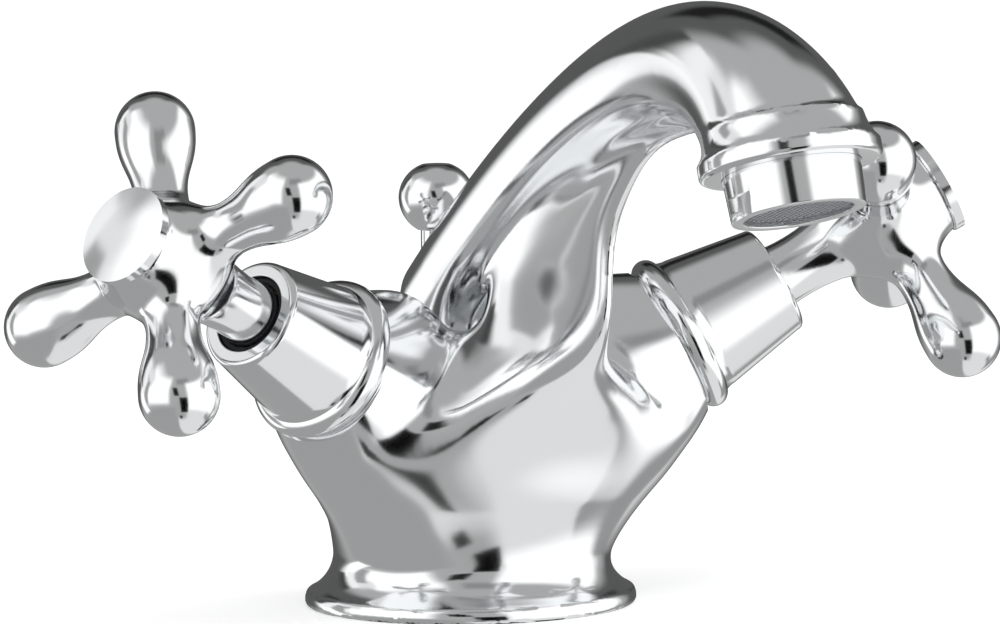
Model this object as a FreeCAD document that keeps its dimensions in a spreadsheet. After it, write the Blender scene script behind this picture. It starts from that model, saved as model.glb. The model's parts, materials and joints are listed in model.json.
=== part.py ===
import FreeCAD, Part
import math
import os
import re

import Sketcher

# Two-handle basin mixer tap with an arched spout, cross handles and a pop-up waste rod.
# Frame: origin at the centre of the base's underside, +Z up, spout towards -Y, handles on both X sides.
# Each handle's axis is a "horn axis": it leaves the body at the horn root, rising outwards and forwards.
# Lengths are in millimetres, names that end in _angle are degrees, names that end in _count are counts.

SIZES = {
    # base and vase of the body casting
    "base_radius": 30.4,
    "base_rim_height": 2.8,
    "base_lip_width": 1.0,
    "cove_radius": 8.0,
    "neck_radius": 25.1,
    "neck_rise": 9.8,
    "flare_radius": 60.0,
    "belly_radius": 27.2,
    "belly_rise": 21.0,
    "belly_bend": 24.0,
    "shoulder_radius": 21.0,
    "shoulder_rise": 46.0,
    "crown_rise": 57.0,
    # horns of the casting, which hold the valves
    "horn_rise_angle": 28.1,
    "horn_turn_angle": 18.4,
    "horn_root_rise": 27.6,
    "horn_root_shift": 1.0,
    "horn_end": 42.0,
    "horn_radius": 13.9,
    "horn_foot_radius": 21.0,
    "horn_waist_radius": 21.6,
    "horn_belly_radius": 21.2,
    "horn_shoulder_radius": 19.4,
    "horn_collar_radius": 17.7,
    # chest and web under the spout
    "web_rise": 95.0,
    "web_reach": 88.0,
    # spout tube and its outlet
    "spout_foot_reach": 1.5,
    "spout_foot_rise": 61.9,
    "spout_tail": 9.6,
    "spout_knee_reach": 36.7,
    "spout_knee_rise": 90.4,
    "spout_crest_reach": 94.0,
    "spout_crest_rise": 116.2,
    "spout_drop": 6.3,
    "outlet_reach": 116.6,
    "outlet_rise": 87.8,
    "outlet_angle": 17.9,
    "spout_foot_radius": 9.4,
    "spout_thin_radius": 9.15,
    "spout_end_radius": 14.4,
    "outlet_lip_radius": 15.9,
    "outlet_lip_height": 7.0,
    "outlet_lip_rounding": 3.0,
    "outlet_lip_inset": 1.5,
    "outlet_edge_rounding": 1.0,
    "spout_bore_radius": 5.6,
    "outlet_bore_radius": 8.5,
    "aerator_thread_radius": 12.1,
    "aerator_socket_depth": 7.6,
    # water ways in the casting
    "inlet_spacing": 18.0,
    "inlet_shift": 1.5,
    "inlet_radius": 5.0,
    "inlet_depth": 12.0,
    "feed_radius": 3.6,
    "valve_seat_depth": 17.0,
    "valve_pocket_radius": 10.5,
    "cross_way_radius": 4.4,
    "cross_way_rise": 46.0,
    "cross_way_shift": 7.0,
    "cross_way_reach": 16.0,
    # fixing stud and rod holes
    "stud_radius": 4.0,
    "stud_shift": 13.5,
    "stud_grip": 12.0,
    "stud_length": 58.0,
    "stud_clearance": 0.05,
    "rod_radius": 3.0,
    "rod_shift": 11.2,
    "rod_clearance": 0.4,
    "rod_drop": 48.0,
    "rod_guide_radius": 5.2,
    "rod_guide_height": 8.0,
    "rod_running_gap": 0.08,
    # seal ring under the base
    "base_seal_outer": 26.5,
    "base_seal_inner": 22.5,
    "base_seal_height": 2.0,
    # clamp under the deck
    "deck_thickness": 18.0,
    "clamp_radius": 24.0,
    "clamp_pad_height": 3.0,
    "clamp_plate_height": 2.5,
    "clamp_slot_width": 31.0,
    "clamp_slot_front": 7.5,
    "nut_height": 6.5,
    "nut_across_flats": 13.0,
    "washer_radius": 8.0,
    "washer_height": 1.6,
    "fixing_clearance": 0.3,
    # pop-up knob
    "knob_radius": 7.0,
    "knob_height": 12.0,
    "knob_lift": 12.0,
    "knob_foot_radius": 3.6,
    "knob_crown_radius": 2.6,
    "knob_bend": 6.6,
    "knob_socket_depth": 5.0,
    # bell covers, measured along the horn axis from the horn root
    "bead_radius": 14.6,
    "bead_height": 4.6,
    "bead_bend": 2.4,
    "bell_foot_radius": 12.9,
    "bell_foot": 48.6,
    "bell_mouth": 65.0,
    "bell_mouth_radius": 10.3,
    "bell_mouth_rounding": 1.2,
    "bell_bore_radius": 11.5,
    "bell_bore_end": 54.5,
    "bell_thread_radius": 9.1,
    "bell_thread_end": 60.6,
    "mouth_bore_radius": 7.3,
    "mouth_seal_thickness": 1.15,
    # valve headworks
    "headwork_skirt_radius": 9.3,
    "headwork_thread_radius": 10.4,
    "headwork_thread_start": 30.0,
    "headwork_flange_radius": 11.3,
    "headwork_flange_height": 1.6,
    "headwork_hex_end": 49.2,
    "headwork_across_flats": 19.0,
    "headwork_collar_radius": 9.0,
    "headwork_end": 60.0,
    "disc_radius": 7.9,
    "disc_thickness": 3.0,
    "disc_port_radius": 2.0,
    "disc_port_offset": 4.2,
    "disc_port_count": 2,
    "disc_running_gap": 0.05,
    "disc_side_gap": 0.1,
    "seat_seal_height": 2.6,
    "seat_seal_bore": 4.0,
    "driver_height": 2.0,
    "cavity_end": 30.5,
    "window_width": 7.0,
    "window_height": 3.6,
    "flange_seal_section": 0.55,
    "flange_groove_height": 1.3,
    "gland_rise": 52.0,
    "gland_radius": 5.6,
    "gland_height": 2.0,
    # spindles
    "spindle_radius": 4.0,
    "spindle_running_gap": 0.05,
    "spindle_end": 80.0,
    "spindle_screw_depth": 12.0,
    "spindle_drill_tip": 1.0,
    "clip_groove_radius": 3.3,
    "clip_radius": 5.6,
    "clip_thickness": 0.8,
    "clip_gap": 0.15,
    "clip_mouth_width": 4.4,
    # cross handles
    "arm_plane": 87.9,
    "arm_reach": 28.2,
    "ball_radius": 7.2,
    "arm_count": 4,
    "arm_turn_angle": 30.0,
    "arm_waist_radius": 4.85,
    "handle_neck_start": 61.6,
    "handle_neck_radius": 6.0,
    "handle_hub_radius": 8.8,
    "handle_hub_end": 98.1,
    "handle_rim_radius": 8.4,
    "handle_trumpet_bend": 34.0,
    "handle_spindle_gap": 0.05,
    "handle_floor": 8.0,
    "handle_well_radius": 5.4,
    "screw_radius": 2.0,
    "screw_head_radius": 3.5,
    "screw_head_height": 3.0,
    "screw_length": 18.0,
    "screw_gap": 0.1,
    "screw_slot_width": 0.9,
    "screw_slot_depth": 1.2,
    # index caps
    "cap_radius": 9.0,
    "cap_rim_height": 2.0,
    "cap_dome_height": 0.9,
    "cap_plug_radius": 5.3,
    "cap_plug_length": 4.0,
    # aerator, measured along the outlet axis from the outlet's face
    "aerator_skirt_top_radius": 12.0,
    "aerator_skirt_end_radius": 11.66,
    "aerator_skirt_length": 7.9,
    "aerator_thread_fit": 0.15,
    "aerator_thread_length": 6.0,
    "aerator_bore_radius": 10.4,
    "aerator_flat_across": 22.4,
    "aerator_flat_height": 4.0,
    "aerator_flat_count": 2,
    "aerator_washer_height": 1.5,
    "aerator_washer_bore": 8.6,
    "insert_radius": 10.3,
    "insert_wall": 1.0,
    "insert_floor": 1.4,
    "insert_end": 5.6,
    "jet_radius": 0.9,
    "jet_circle_radius": 5.4,
    "jet_count": 10,
    "grille_thickness": 1.2,
    "grille_hole_radius": 1.1,
    "grille_inner_circle": 3.6,
    "grille_outer_circle": 7.2,
    "grille_inner_count": 6,
    "grille_outer_count": 12,
    "grille_lip_bore": 9.5,
    "hexagon_count": 6,
    "cut_overrun": 1.0,
}

# Horn sections from the neck towards the end face: run and rise as shares of the way, lean towards the axis,
# and how much wider than high the section is, as a share of its radius.
HORN_SHARES = {
    "foot": (0.02, 0.13, 0.25, 0.0),
    "waist": (0.26, 0.56, 0.80, 0.10),
    "belly": (0.562, 0.741, 1.0, 0.17),
    "shoulder": (0.707, 0.819, 1.0, 0.16),
    "collar": (0.834, 0.886, 1.0, 0.09),
    "end": (1.0, 1.0, 1.0, 0.0),
}

# Chest and web sections: rise as a share of web_rise, front and back as shares of web_reach,
# half width as a share of half the way from back to front.
WEB_SHARES = (
    (0.147, 0.227, -0.180, 0.95),
    (0.316, 0.398, -0.215, 0.742),
    (0.505, 0.557, -0.150, 0.463),
    (0.632, 0.602, -0.030, 0.252),
    (0.747, 0.620, 0.080, 0.168),
    (0.863, 0.699, 0.273, 0.171),
    (0.947, 0.852, 0.477, 0.182),
    (1.000, 0.975, 0.660, 0.216),
)

# Spout sections: place along the centre line and radius between the thin radius (0) and the end radius (1).
SPOUT_STATION_SHARES = (
    (0.0, 0.05), (0.14, 0.015), (0.28, 0.0), (0.42, 0.02), (0.55, 0.10),
    (0.66, 0.22), (0.76, 0.37), (0.86, 0.60), (0.93, 0.83), (0.98, 1.0),
)

# Arm sections from the hub to the ball: place as a share of arm_reach, and radius between waist (0) and ball (1).
ARM_STATION_SHARES = ((0.10, 0.66), (0.36, 0.16), (0.53, 0.0), (0.66, 0.22), (0.80, 0.72), (1.0, 1.0))

doc = FreeCAD.newDocument("basin_mixer")
sheet = doc.addObject("Spreadsheet::Sheet", "Sizes")
for row, (name, value) in enumerate(SIZES.items(), start=1):
    sheet.set("A%d" % row, name)
    sheet.set("B%d" % row, str(value))
    sheet.setAlias("B%d" % row, name)
doc.recompute()

NAME_PATTERN = re.compile(r"\b(" + "|".join(sorted(SIZES, key=len, reverse=True)) + r")\b")


def cells(text):
    """Turn a formula of size names into an expression on the sheet's cells."""
    return NAME_PATTERN.sub(r"Sizes.\1", text)


def amount(text):
    """Work out a formula of size names as a number."""
    return float(sheet.evalExpression(cells(text)))


def vector(across, along, up):
    """Point or direction from three formulas."""
    return FreeCAD.Vector(amount(across), amount(along), amount(up))


def bind(thing, **formulas):
    """Bind properties of an object to formulas of size names."""
    for prop, text in formulas.items():
        thing.setExpression(prop, cells(text))
    return thing


def origin_feature(body, role):
    """Origin plane or axis of a body by its role."""
    return [feature for feature in body.Origin.OriginFeatures if feature.Role == role][0]


def arc_middle(start, end, bend, side):
    """Middle point of the short arc between two points, to the right (1) or left (-1) of the way."""
    chord = end - start
    half = chord.Length / 2
    sagitta = bend - math.sqrt(max(bend * bend - half * half, 0))
    right = FreeCAD.Vector(chord.y, -chord.x, 0).normalize()
    return (start + end) / 2 + right * (sagitta * side)


def dome_bend(radius, height):
    """Formula for the bend of a round dome whose centre lies on the axis."""
    return "(%s ^ 2 + %s ^ 2) / (2 * %s)" % (radius, height, height)


def draw(sketch, outline):
    """Draw a closed outline and bind every point and arc radius to the sheet.

    A point is (across, up), or (across, up, bend, side) where an arc leads to it. The way runs with the
    solid on its left, so side 1 bulges and side -1 is hollow.
    """
    points = [FreeCAD.Vector(amount(point[0]), amount(point[1]), 0) for point in outline]
    count = len(points)
    starts = []
    arcs = []
    for index in range(count):
        here = points[index]
        there = points[(index + 1) % count]
        bend = outline[(index + 1) % count][2:]
        if bend:
            middle = arc_middle(here, there, amount(bend[0]), bend[1])
            forward = bend[1] > 0
            arc = Part.Arc(here, middle, there) if forward else Part.Arc(there, middle, here)
            edge = sketch.addGeometry(arc, False)
            arcs.append((edge, bend[0]))
        else:
            edge = sketch.addGeometry(Part.LineSegment(here, there), False)
            forward = True
        starts.append((edge, 1, 2) if forward else (edge, 2, 1))
    for index in range(count):
        edge, first, last = starts[index]
        after, after_first, after_last = starts[(index + 1) % count]
        sketch.addConstraint(Sketcher.Constraint("Coincident", edge, last, after, after_first))
    for index in range(count):
        edge, first, last = starts[index]
        for text, kind, axis, value in (
            (outline[index][0], "DistanceX", -2, points[index].x),
            (outline[index][1], "DistanceY", -1, points[index].y),
        ):
            if text == "0":
                sketch.addConstraint(Sketcher.Constraint("PointOnObject", edge, first, axis))
            else:
                made = sketch.addConstraint(Sketcher.Constraint(kind, -1, 1, edge, first, value))
                sketch.setExpression("Constraints[%d]" % made, cells(text))
    for edge, text in arcs:
        made = sketch.addConstraint(Sketcher.Constraint("Radius", edge, amount(text)))
        sketch.setExpression("Constraints[%d]" % made, cells(text))


def turned(label, outline, frame=None):
    """Body turned about its own Z axis from an outline of (radius, height) points."""
    body = doc.addObject("PartDesign::Body", label)
    sketch = body.newObject("Sketcher::SketchObject", label + "_outline")
    sketch.AttachmentSupport = [(origin_feature(body, "XZ_Plane"), "")]
    sketch.MapMode = "FlatFace"
    draw(sketch, outline)
    turn = body.newObject("PartDesign::Revolution", label + "_turn")
    turn.Profile = sketch
    turn.ReferenceAxis = (sketch, ["V_Axis"])
    turn.Angle = 360
    body.Tip = turn
    if frame is not None:
        body.Placement = frame
    doc.recompute()
    return body


def ring(label, inner, outer, low, high, frame=None):
    """Plain ring between two radii and two heights."""
    return turned(label, [(inner, low), (outer, low), (outer, high), (inner, high)], frame)


def disc(label, radius, low, high, frame=None):
    """Plain disc between two heights."""
    return turned(label, [("0", low), (radius, low), (radius, high), ("0", high)], frame)


def shift(across="0", along="0", up="0", rotation=None):
    """Placement from three formulas and an optional rotation."""
    return FreeCAD.Placement(vector(across, along, up), rotation or FreeCAD.Rotation())


def shape_in(body, kind, name, place, **formulas):
    """Add a primitive to a body, such as a subtractive cylinder, and make it the tip."""
    feature = body.newObject("PartDesign::" + kind, name)
    feature.Placement = place
    bind(feature, **formulas)
    body.Tip = feature
    doc.recompute()
    return feature


def around(body, feature, name, count):
    """Repeat a feature of a body around its own Z axis."""
    pattern = body.newObject("PartDesign::PolarPattern", name)
    pattern.Originals = [feature]
    pattern.Axis = (origin_feature(body, "Z_Axis"), [""])
    pattern.Angle = 360
    pattern.Occurrences = int(amount(count))
    body.Tip = pattern
    doc.recompute()
    return pattern


def circle(name, radius, place):
    """Circle section for a loft."""
    section = doc.addObject("Part::Circle", name)
    section.Placement = place
    return bind(section, Radius=radius)


def oval(name, major, minor, place):
    """Oval section for a loft, longest along its own X."""
    section = doc.addObject("Part::Ellipse", name)
    section.Placement = place
    return bind(section, MajorRadius=major, MinorRadius=minor)


def loft(name, sections):
    """Smooth solid through closed sections."""
    skin = doc.addObject("Part::Loft", name)
    skin.Sections = sections
    skin.Solid = True
    skin.Ruled = False
    doc.recompute()
    return skin


def joined(label, pieces):
    """One solid from overlapping pieces."""
    fusion = doc.addObject("Part::MultiFuse", label)
    fusion.Shapes = pieces
    doc.recompute()
    return fusion


def cut(label, base, tool):
    """Base less the tool."""
    result = doc.addObject("Part::Cut", label)
    result.Base = base
    result.Tool = tool
    doc.recompute()
    return result


def facing(direction):
    """Rotation that turns +Z to a direction, with local X as near to straight up as it can be."""
    up = FreeCAD.Vector(0, 0, 1)
    across = up - direction * up.dot(direction)
    if across.Length < 1e-9:
        across = FreeCAD.Vector(1, 0, 0)
    return FreeCAD.Rotation(across, FreeCAD.Vector(), direction, "ZXY")


# Frames

RISE = math.radians(amount("horn_rise_angle"))
TURN = math.radians(amount("horn_turn_angle"))
HORN_ROOT = vector("0", "-horn_root_shift", "horn_root_rise")
SIDES = {"left": -1, "right": 1}


def horn_direction(side):
    """Unit vector of a horn's axis, outwards."""
    return FreeCAD.Vector(
        side * math.cos(RISE) * math.cos(TURN), -math.cos(RISE) * math.sin(TURN), math.sin(RISE)
    )


def horn_frame(side):
    """Frame at the horn root with +Z along the horn's axis."""
    return FreeCAD.Placement(HORN_ROOT, facing(horn_direction(side)))


OUTLET = math.radians(amount("outlet_angle"))
OUTLET_DIRECTION = FreeCAD.Vector(0, -math.sin(OUTLET), -math.cos(OUTLET))
OUTLET_FRAME = FreeCAD.Placement(
    vector("0", "-outlet_reach", "outlet_rise"), facing(OUTLET_DIRECTION)
)
KNOB_RISE = "(spout_foot_rise + knob_lift)"


# Body casting

def spout_line():
    """Centre line of the spout tube as a spline in the middle plane, which ends along the outlet's axis."""
    outlet = OUTLET_FRAME.Base
    poles = [
        vector("0", "-spout_foot_reach", "spout_foot_rise"),
        vector("0", "-spout_knee_reach", "spout_knee_rise"),
        vector("0", "-spout_crest_reach", "spout_crest_rise"),
        outlet - OUTLET_DIRECTION * amount("spout_drop"),
        outlet,
    ]
    line = Part.BSplineCurve()
    line.buildFromPolesMultsKnots(poles, [4, 1, 4], [0, 0.5, 1], False, 3)
    return line


def spout_place(line, share):
    """Frame across the spout's centre line at a share of its length."""
    at = line.parameterAtDistance(line.length() * share, line.FirstParameter)
    direction = FreeCAD.Vector(*line.tangent(at)[0])
    return FreeCAD.Placement(line.value(at), facing(direction))


def spout_solid():
    """Outer form of the spout: a tube that swells towards the outlet, with a rounded foot."""
    line = spout_line()
    start = spout_place(line, 0)
    back = start.Rotation.multVec(FreeCAD.Vector(0, 0, -amount("spout_tail")))
    tail = FreeCAD.Placement(start.Base + back, start.Rotation)
    sections = [circle("spout_section_tail", "spout_foot_radius", tail)]
    for number, (place_share, swell_share) in enumerate(SPOUT_STATION_SHARES):
        radius = "spout_thin_radius + (spout_end_radius - spout_thin_radius) * %g" % swell_share
        sections.append(circle("spout_section_%d" % number, radius, spout_place(line, place_share)))
    tube = loft("spout_tube", sections)
    foot = doc.addObject("Part::Sphere", "spout_foot")
    foot.Placement = tail
    bind(foot, Radius="spout_foot_radius")
    lip = turned("outlet_lip", [
        ("0", "-outlet_lip_height"),
        ("spout_end_radius - outlet_lip_inset", "-outlet_lip_height"),
        ("outlet_lip_radius", "-outlet_lip_rounding", "outlet_lip_height", -1),
        ("outlet_lip_radius", "-outlet_edge_rounding"),
        ("outlet_lip_radius - outlet_edge_rounding", "0", "outlet_edge_rounding", 1),
        ("0", "0"),
    ], OUTLET_FRAME)
    return [tube, foot, lip]


def spout_way():
    """Water way from the cross way up the spout to the aerator socket."""
    line = spout_line()
    start = FreeCAD.Placement(
        vector("0", "-cross_way_shift", "cross_way_rise"), FreeCAD.Rotation()
    )
    sections = [circle("way_section_start", "spout_bore_radius", start)]
    for number, (place_share, swell_share) in enumerate(SPOUT_STATION_SHARES[1:-1]):
        radius = "spout_bore_radius + (outlet_bore_radius - spout_bore_radius) * %g" % swell_share
        sections.append(circle("way_section_%d" % number, radius, spout_place(line, place_share)))
    sections.append(circle("way_section_end", "outlet_bore_radius", OUTLET_FRAME))
    way = loft("spout_way", sections)
    socket = disc(
        "aerator_socket", "aerator_thread_radius", "-aerator_socket_depth", "cut_overrun", OUTLET_FRAME
    )
    return [way, socket]


def horn_solid(word, side):
    """One horn: a curved cone from the neck to the end face, with a short round end."""
    neck = vector("0", "0", "neck_rise")
    direction = horn_direction(side)
    end = HORN_ROOT + direction * amount("horn_end")
    sideways = FreeCAD.Rotation(FreeCAD.Vector(0, 0, 1), 90)
    sections = []
    for place, (run_share, rise_share, lean_share, spread_share) in HORN_SHARES.items():
        name = "%s_horn_%s" % (word, place)
        radius = "horn_radius" if place == "end" else "horn_%s_radius" % place
        centre = FreeCAD.Vector(
            neck.x + (end.x - neck.x) * run_share,
            neck.y + (end.y - neck.y) * run_share,
            neck.z + (end.z - neck.z) * rise_share,
        )
        lean = direction * lean_share + FreeCAD.Vector(0, 0, 1) * (1 - lean_share)
        across = FreeCAD.Placement(centre, facing(lean.normalize()).multiply(sideways))
        if spread_share:
            sections.append(oval(name, radius + " * %g" % (1 + spread_share), radius, across))
        else:
            sections.append(circle(name, radius, across))
    return loft(word + "_horn", sections)


def web_solid():
    """Chest of the body and the web that carries the spout, through oval sections."""
    sections = []
    for number, (rise_share, front_share, back_share, width_share) in enumerate(WEB_SHARES):
        place = shift(
            along="-web_reach * %g" % ((front_share + back_share) / 2), up="web_rise * %g" % rise_share,
            rotation=FreeCAD.Rotation(FreeCAD.Vector(0, 0, 1), 90),
        )
        half_length = "web_reach * %g" % ((front_share - back_share) / 2)
        half_width = half_length + " * %g" % width_share
        sections.append(oval("web_section_%d" % number, half_length, half_width, place))
    return loft("web", sections)


def vase_solid():
    """Flange, neck and belly of the body."""
    return turned("vase", [
        ("0", "0"),
        ("base_radius - base_lip_width", "0"),
        ("base_radius", "base_lip_width", "base_lip_width", 1),
        ("base_radius - base_lip_width / 2", "base_rim_height", "base_rim_height", 1),
        ("neck_radius", "neck_rise", "cove_radius", -1),
        ("belly_radius", "belly_rise", "flare_radius", -1),
        ("shoulder_radius", "shoulder_rise", "belly_bend", 1),
        ("0", "crown_rise", dome_bend("shoulder_radius", "(crown_rise - shoulder_rise)"), 1),
    ])


def valve_ways(word, side):
    """Valve pocket, its feed and its inlet on one side."""
    frame = horn_frame(side)
    pocket = disc(
        word + "_pocket", "valve_pocket_radius", "valve_seat_depth", "horn_end + cut_overrun", frame
    )
    mouth = frame.multVec(vector("0", "0", "valve_seat_depth"))
    inlet_top = FreeCAD.Vector(
        side * amount("inlet_spacing / 2"), -amount("inlet_shift"), amount("inlet_depth")
    )
    inlet = doc.addObject("Part::Cylinder", word + "_inlet")
    overrun = vector("0", "0", "inlet_depth + cut_overrun")
    inlet.Placement = FreeCAD.Placement(inlet_top - overrun, FreeCAD.Rotation())
    bind(inlet, Radius="inlet_radius", Height="inlet_depth + cut_overrun")
    start = inlet_top - FreeCAD.Vector(0, 0, amount("cut_overrun"))
    run = mouth - start
    feed = doc.addObject("Part::Cylinder", word + "_feed")
    feed.Placement = FreeCAD.Placement(start, facing(FreeCAD.Vector(run).normalize()))
    feed.Height = run.Length + amount("cut_overrun")
    bind(feed, Radius="feed_radius")
    return [pocket, inlet, feed]


def body_casting():
    """The hollow casting: base, belly, two horns, web and spout in one piece."""
    solids = [vase_solid(), web_solid()]
    tools = []
    for word, side in SIDES.items():
        solids.append(horn_solid(word, side))
        tools += valve_ways(word, side)
    solids += spout_solid()
    tools += spout_way()
    cross = doc.addObject("Part::Cylinder", "cross_way")
    cross.Placement = shift(
        "-cross_way_reach", "-cross_way_shift", "cross_way_rise",
        FreeCAD.Rotation(FreeCAD.Vector(0, 1, 0), 90),
    )
    bind(cross, Radius="cross_way_radius", Height="2 * cross_way_reach")
    rod_hole = doc.addObject("Part::Cylinder", "rod_hole")
    rod_hole.Placement = shift(along="rod_shift", up="-cut_overrun")
    bind(rod_hole, Radius="rod_radius + rod_clearance", Height=KNOB_RISE + " + cut_overrun")
    guide_seat = doc.addObject("Part::Cylinder", "rod_guide_seat")
    guide_seat.Placement = shift(along="rod_shift", up="-cut_overrun")
    bind(guide_seat, Radius="rod_guide_radius", Height="rod_guide_height + cut_overrun")
    stud_hole = doc.addObject("Part::Cylinder", "stud_hole")
    stud_hole.Placement = shift(along="-stud_shift", up="-cut_overrun")
    bind(stud_hole, Radius="stud_radius + stud_clearance", Height="stud_grip + cut_overrun")
    groove = ring(
        "seal_groove", "base_seal_inner", "base_seal_outer", "-cut_overrun", "base_seal_height"
    )
    tools += [cross, rod_hole, guide_seat, stud_hole, groove]
    return cut("body_casting", joined("casting_form", solids), joined("casting_ways", tools))


# Valve, cover and handle pieces along the horn axis

def bell_cover(word, frame):
    """Chromed cover over the valve: a bead at the foot, a cone and a thick mouth."""
    return turned(word + "_bell_cover", [
        ("bell_bore_radius", "horn_end"),
        ("bead_radius - bead_bend / 2", "horn_end"),
        ("bead_radius - bead_bend / 2", "horn_end + bead_height", "bead_bend", 1),
        ("bell_foot_radius", "bell_foot", "bead_height", -1),
        ("bell_mouth_radius", "bell_mouth - bell_mouth_rounding"),
        ("bell_mouth_radius - bell_mouth_rounding", "bell_mouth", "bell_mouth_rounding", 1),
        ("mouth_bore_radius", "bell_mouth"),
        ("mouth_bore_radius", "bell_thread_end"),
        ("bell_thread_radius", "bell_thread_end"),
        ("bell_thread_radius", "bell_bore_end"),
        ("bell_bore_radius", "bell_bore_end"),
    ], frame)


def mouth_seal(word, frame):
    """Black ring in the cover's mouth around the handle's neck."""
    section = "mouth_seal_thickness / 2"
    seal = doc.addObject("Part::Torus", word + "_mouth_seal")
    middle = vector("0", "0", "bell_mouth - mouth_seal_thickness")
    seal.Placement = frame.multiply(FreeCAD.Placement(middle, FreeCAD.Rotation()))
    return bind(seal, Radius1="mouth_bore_radius - " + section, Radius2=section)


def headwork(word, frame):
    """Brass valve body: skirt with windows, thread, flange, hexagon and collar."""
    bore = "spindle_radius + spindle_running_gap"
    name = word + "_headwork"
    body = turned(name, [
        ("disc_radius + disc_side_gap", "valve_seat_depth + seat_seal_height / 2"),
        ("headwork_skirt_radius", "valve_seat_depth + seat_seal_height / 2"),
        ("headwork_skirt_radius", "headwork_thread_start"),
        ("headwork_thread_radius", "headwork_thread_start"),
        ("headwork_thread_radius", "horn_end - flange_groove_height"),
        ("headwork_skirt_radius", "horn_end - flange_groove_height"),
        ("headwork_skirt_radius", "horn_end"),
        ("headwork_flange_radius", "horn_end"),
        ("headwork_flange_radius", "horn_end + headwork_flange_height"),
        ("headwork_collar_radius", "horn_end + headwork_flange_height"),
        ("headwork_collar_radius", "headwork_end"),
        (bore, "headwork_end"),
        (bore, "gland_rise + gland_height"),
        ("gland_radius", "gland_rise + gland_height"),
        ("gland_radius", "gland_rise"),
        (bore, "gland_rise"),
        (bore, "cavity_end"),
        ("disc_radius + disc_side_gap", "cavity_end"),
    ], frame)
    hexagon = shape_in(
        body, "AdditivePrism", name + "_hexagon", shift(up="horn_end + headwork_flange_height"),
        Circumradius="headwork_across_flats / sqrt(3)",
        Height="headwork_hex_end - horn_end - headwork_flange_height",
    )
    hexagon.Polygon = int(amount("hexagon_count"))
    shape_in(
        body, "SubtractiveCylinder", name + "_bore", shift(up="horn_end"),
        Radius=bore, Height="headwork_hex_end - horn_end + cut_overrun",
    )
    shape_in(
        body, "SubtractiveBox", name + "_window",
        shift("-headwork_thread_radius", "-window_width / 2", "cavity_end - window_height - disc_side_gap"),
        Length="2 * headwork_thread_radius", Width="window_width", Height="window_height",
    )
    return body


def seat_seal(word, frame):
    """Rubber ring between the valve seat and the fixed disc."""
    return ring(
        word + "_seat_seal", "seat_seal_bore", "disc_radius",
        "valve_seat_depth", "valve_seat_depth + seat_seal_height", frame,
    )


def ported_disc(label, low, frame):
    """Ceramic disc with two ports."""
    body = disc(label, "disc_radius", low, low + " + disc_thickness", frame)
    port = shape_in(
        body, "SubtractiveCylinder", label + "_port",
        shift("disc_port_offset", "0", low + " - cut_overrun"),
        Radius="disc_port_radius", Height="disc_thickness + 2 * cut_overrun",
    )
    around(body, port, label + "_ports", "disc_port_count")
    return body


FIXED_DISC_LOW = "valve_seat_depth + seat_seal_height"
TURNING_DISC_LOW = FIXED_DISC_LOW + " + disc_thickness + disc_running_gap"
DRIVER_LOW = TURNING_DISC_LOW + " + disc_thickness"


def spindle(word, frame):
    """Spindle with its disc driver, clip groove and screw hole."""
    return turned(word + "_spindle", [
        ("0", DRIVER_LOW),
        ("disc_radius - disc_side_gap", DRIVER_LOW),
        ("disc_radius - disc_side_gap", DRIVER_LOW + " + driver_height"),
        ("spindle_radius", DRIVER_LOW + " + driver_height"),
        ("spindle_radius", "headwork_end + clip_gap"),
        ("clip_groove_radius", "headwork_end + clip_gap"),
        ("clip_groove_radius", "headwork_end + clip_gap + clip_thickness"),
        ("spindle_radius", "headwork_end + clip_gap + clip_thickness"),
        ("spindle_radius", "spindle_end"),
        ("screw_radius", "spindle_end"),
        ("screw_radius", "spindle_end - spindle_screw_depth"),
        ("0", "spindle_end - spindle_screw_depth - spindle_drill_tip"),
    ], frame)


def spindle_seal(word, frame):
    """Ring in the headwork's gland around the spindle."""
    section = "(gland_radius - spindle_radius - spindle_running_gap) / 2"
    seal = doc.addObject("Part::Torus", word + "_spindle_seal")
    middle = vector("0", "0", "gland_rise + gland_height / 2")
    seal.Placement = frame.multiply(FreeCAD.Placement(middle, FreeCAD.Rotation()))
    return bind(seal, Radius1="gland_radius - " + section, Radius2=section)


def flange_seal(word, frame):
    """Ring in the groove under the headwork's flange."""
    seal = doc.addObject("Part::Torus", word + "_flange_seal")
    middle = vector("0", "0", "horn_end - flange_groove_height / 2")
    seal.Placement = frame.multiply(FreeCAD.Placement(middle, FreeCAD.Rotation()))
    return bind(seal, Radius1="headwork_skirt_radius + flange_seal_section", Radius2="flange_seal_section")


def spindle_clip(word, frame):
    """Open clip that holds the spindle down."""
    name = word + "_spindle_clip"
    low = "headwork_end + clip_gap"
    body = ring(name, "clip_groove_radius", "clip_radius", low, low + " + clip_thickness", frame)
    shape_in(
        body, "SubtractiveBox", name + "_mouth",
        shift("0", "-clip_mouth_width / 2", "headwork_end + clip_gap - cut_overrun"),
        Length="clip_radius + cut_overrun", Width="clip_mouth_width",
        Height="clip_thickness + 2 * cut_overrun",
    )
    return body


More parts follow.
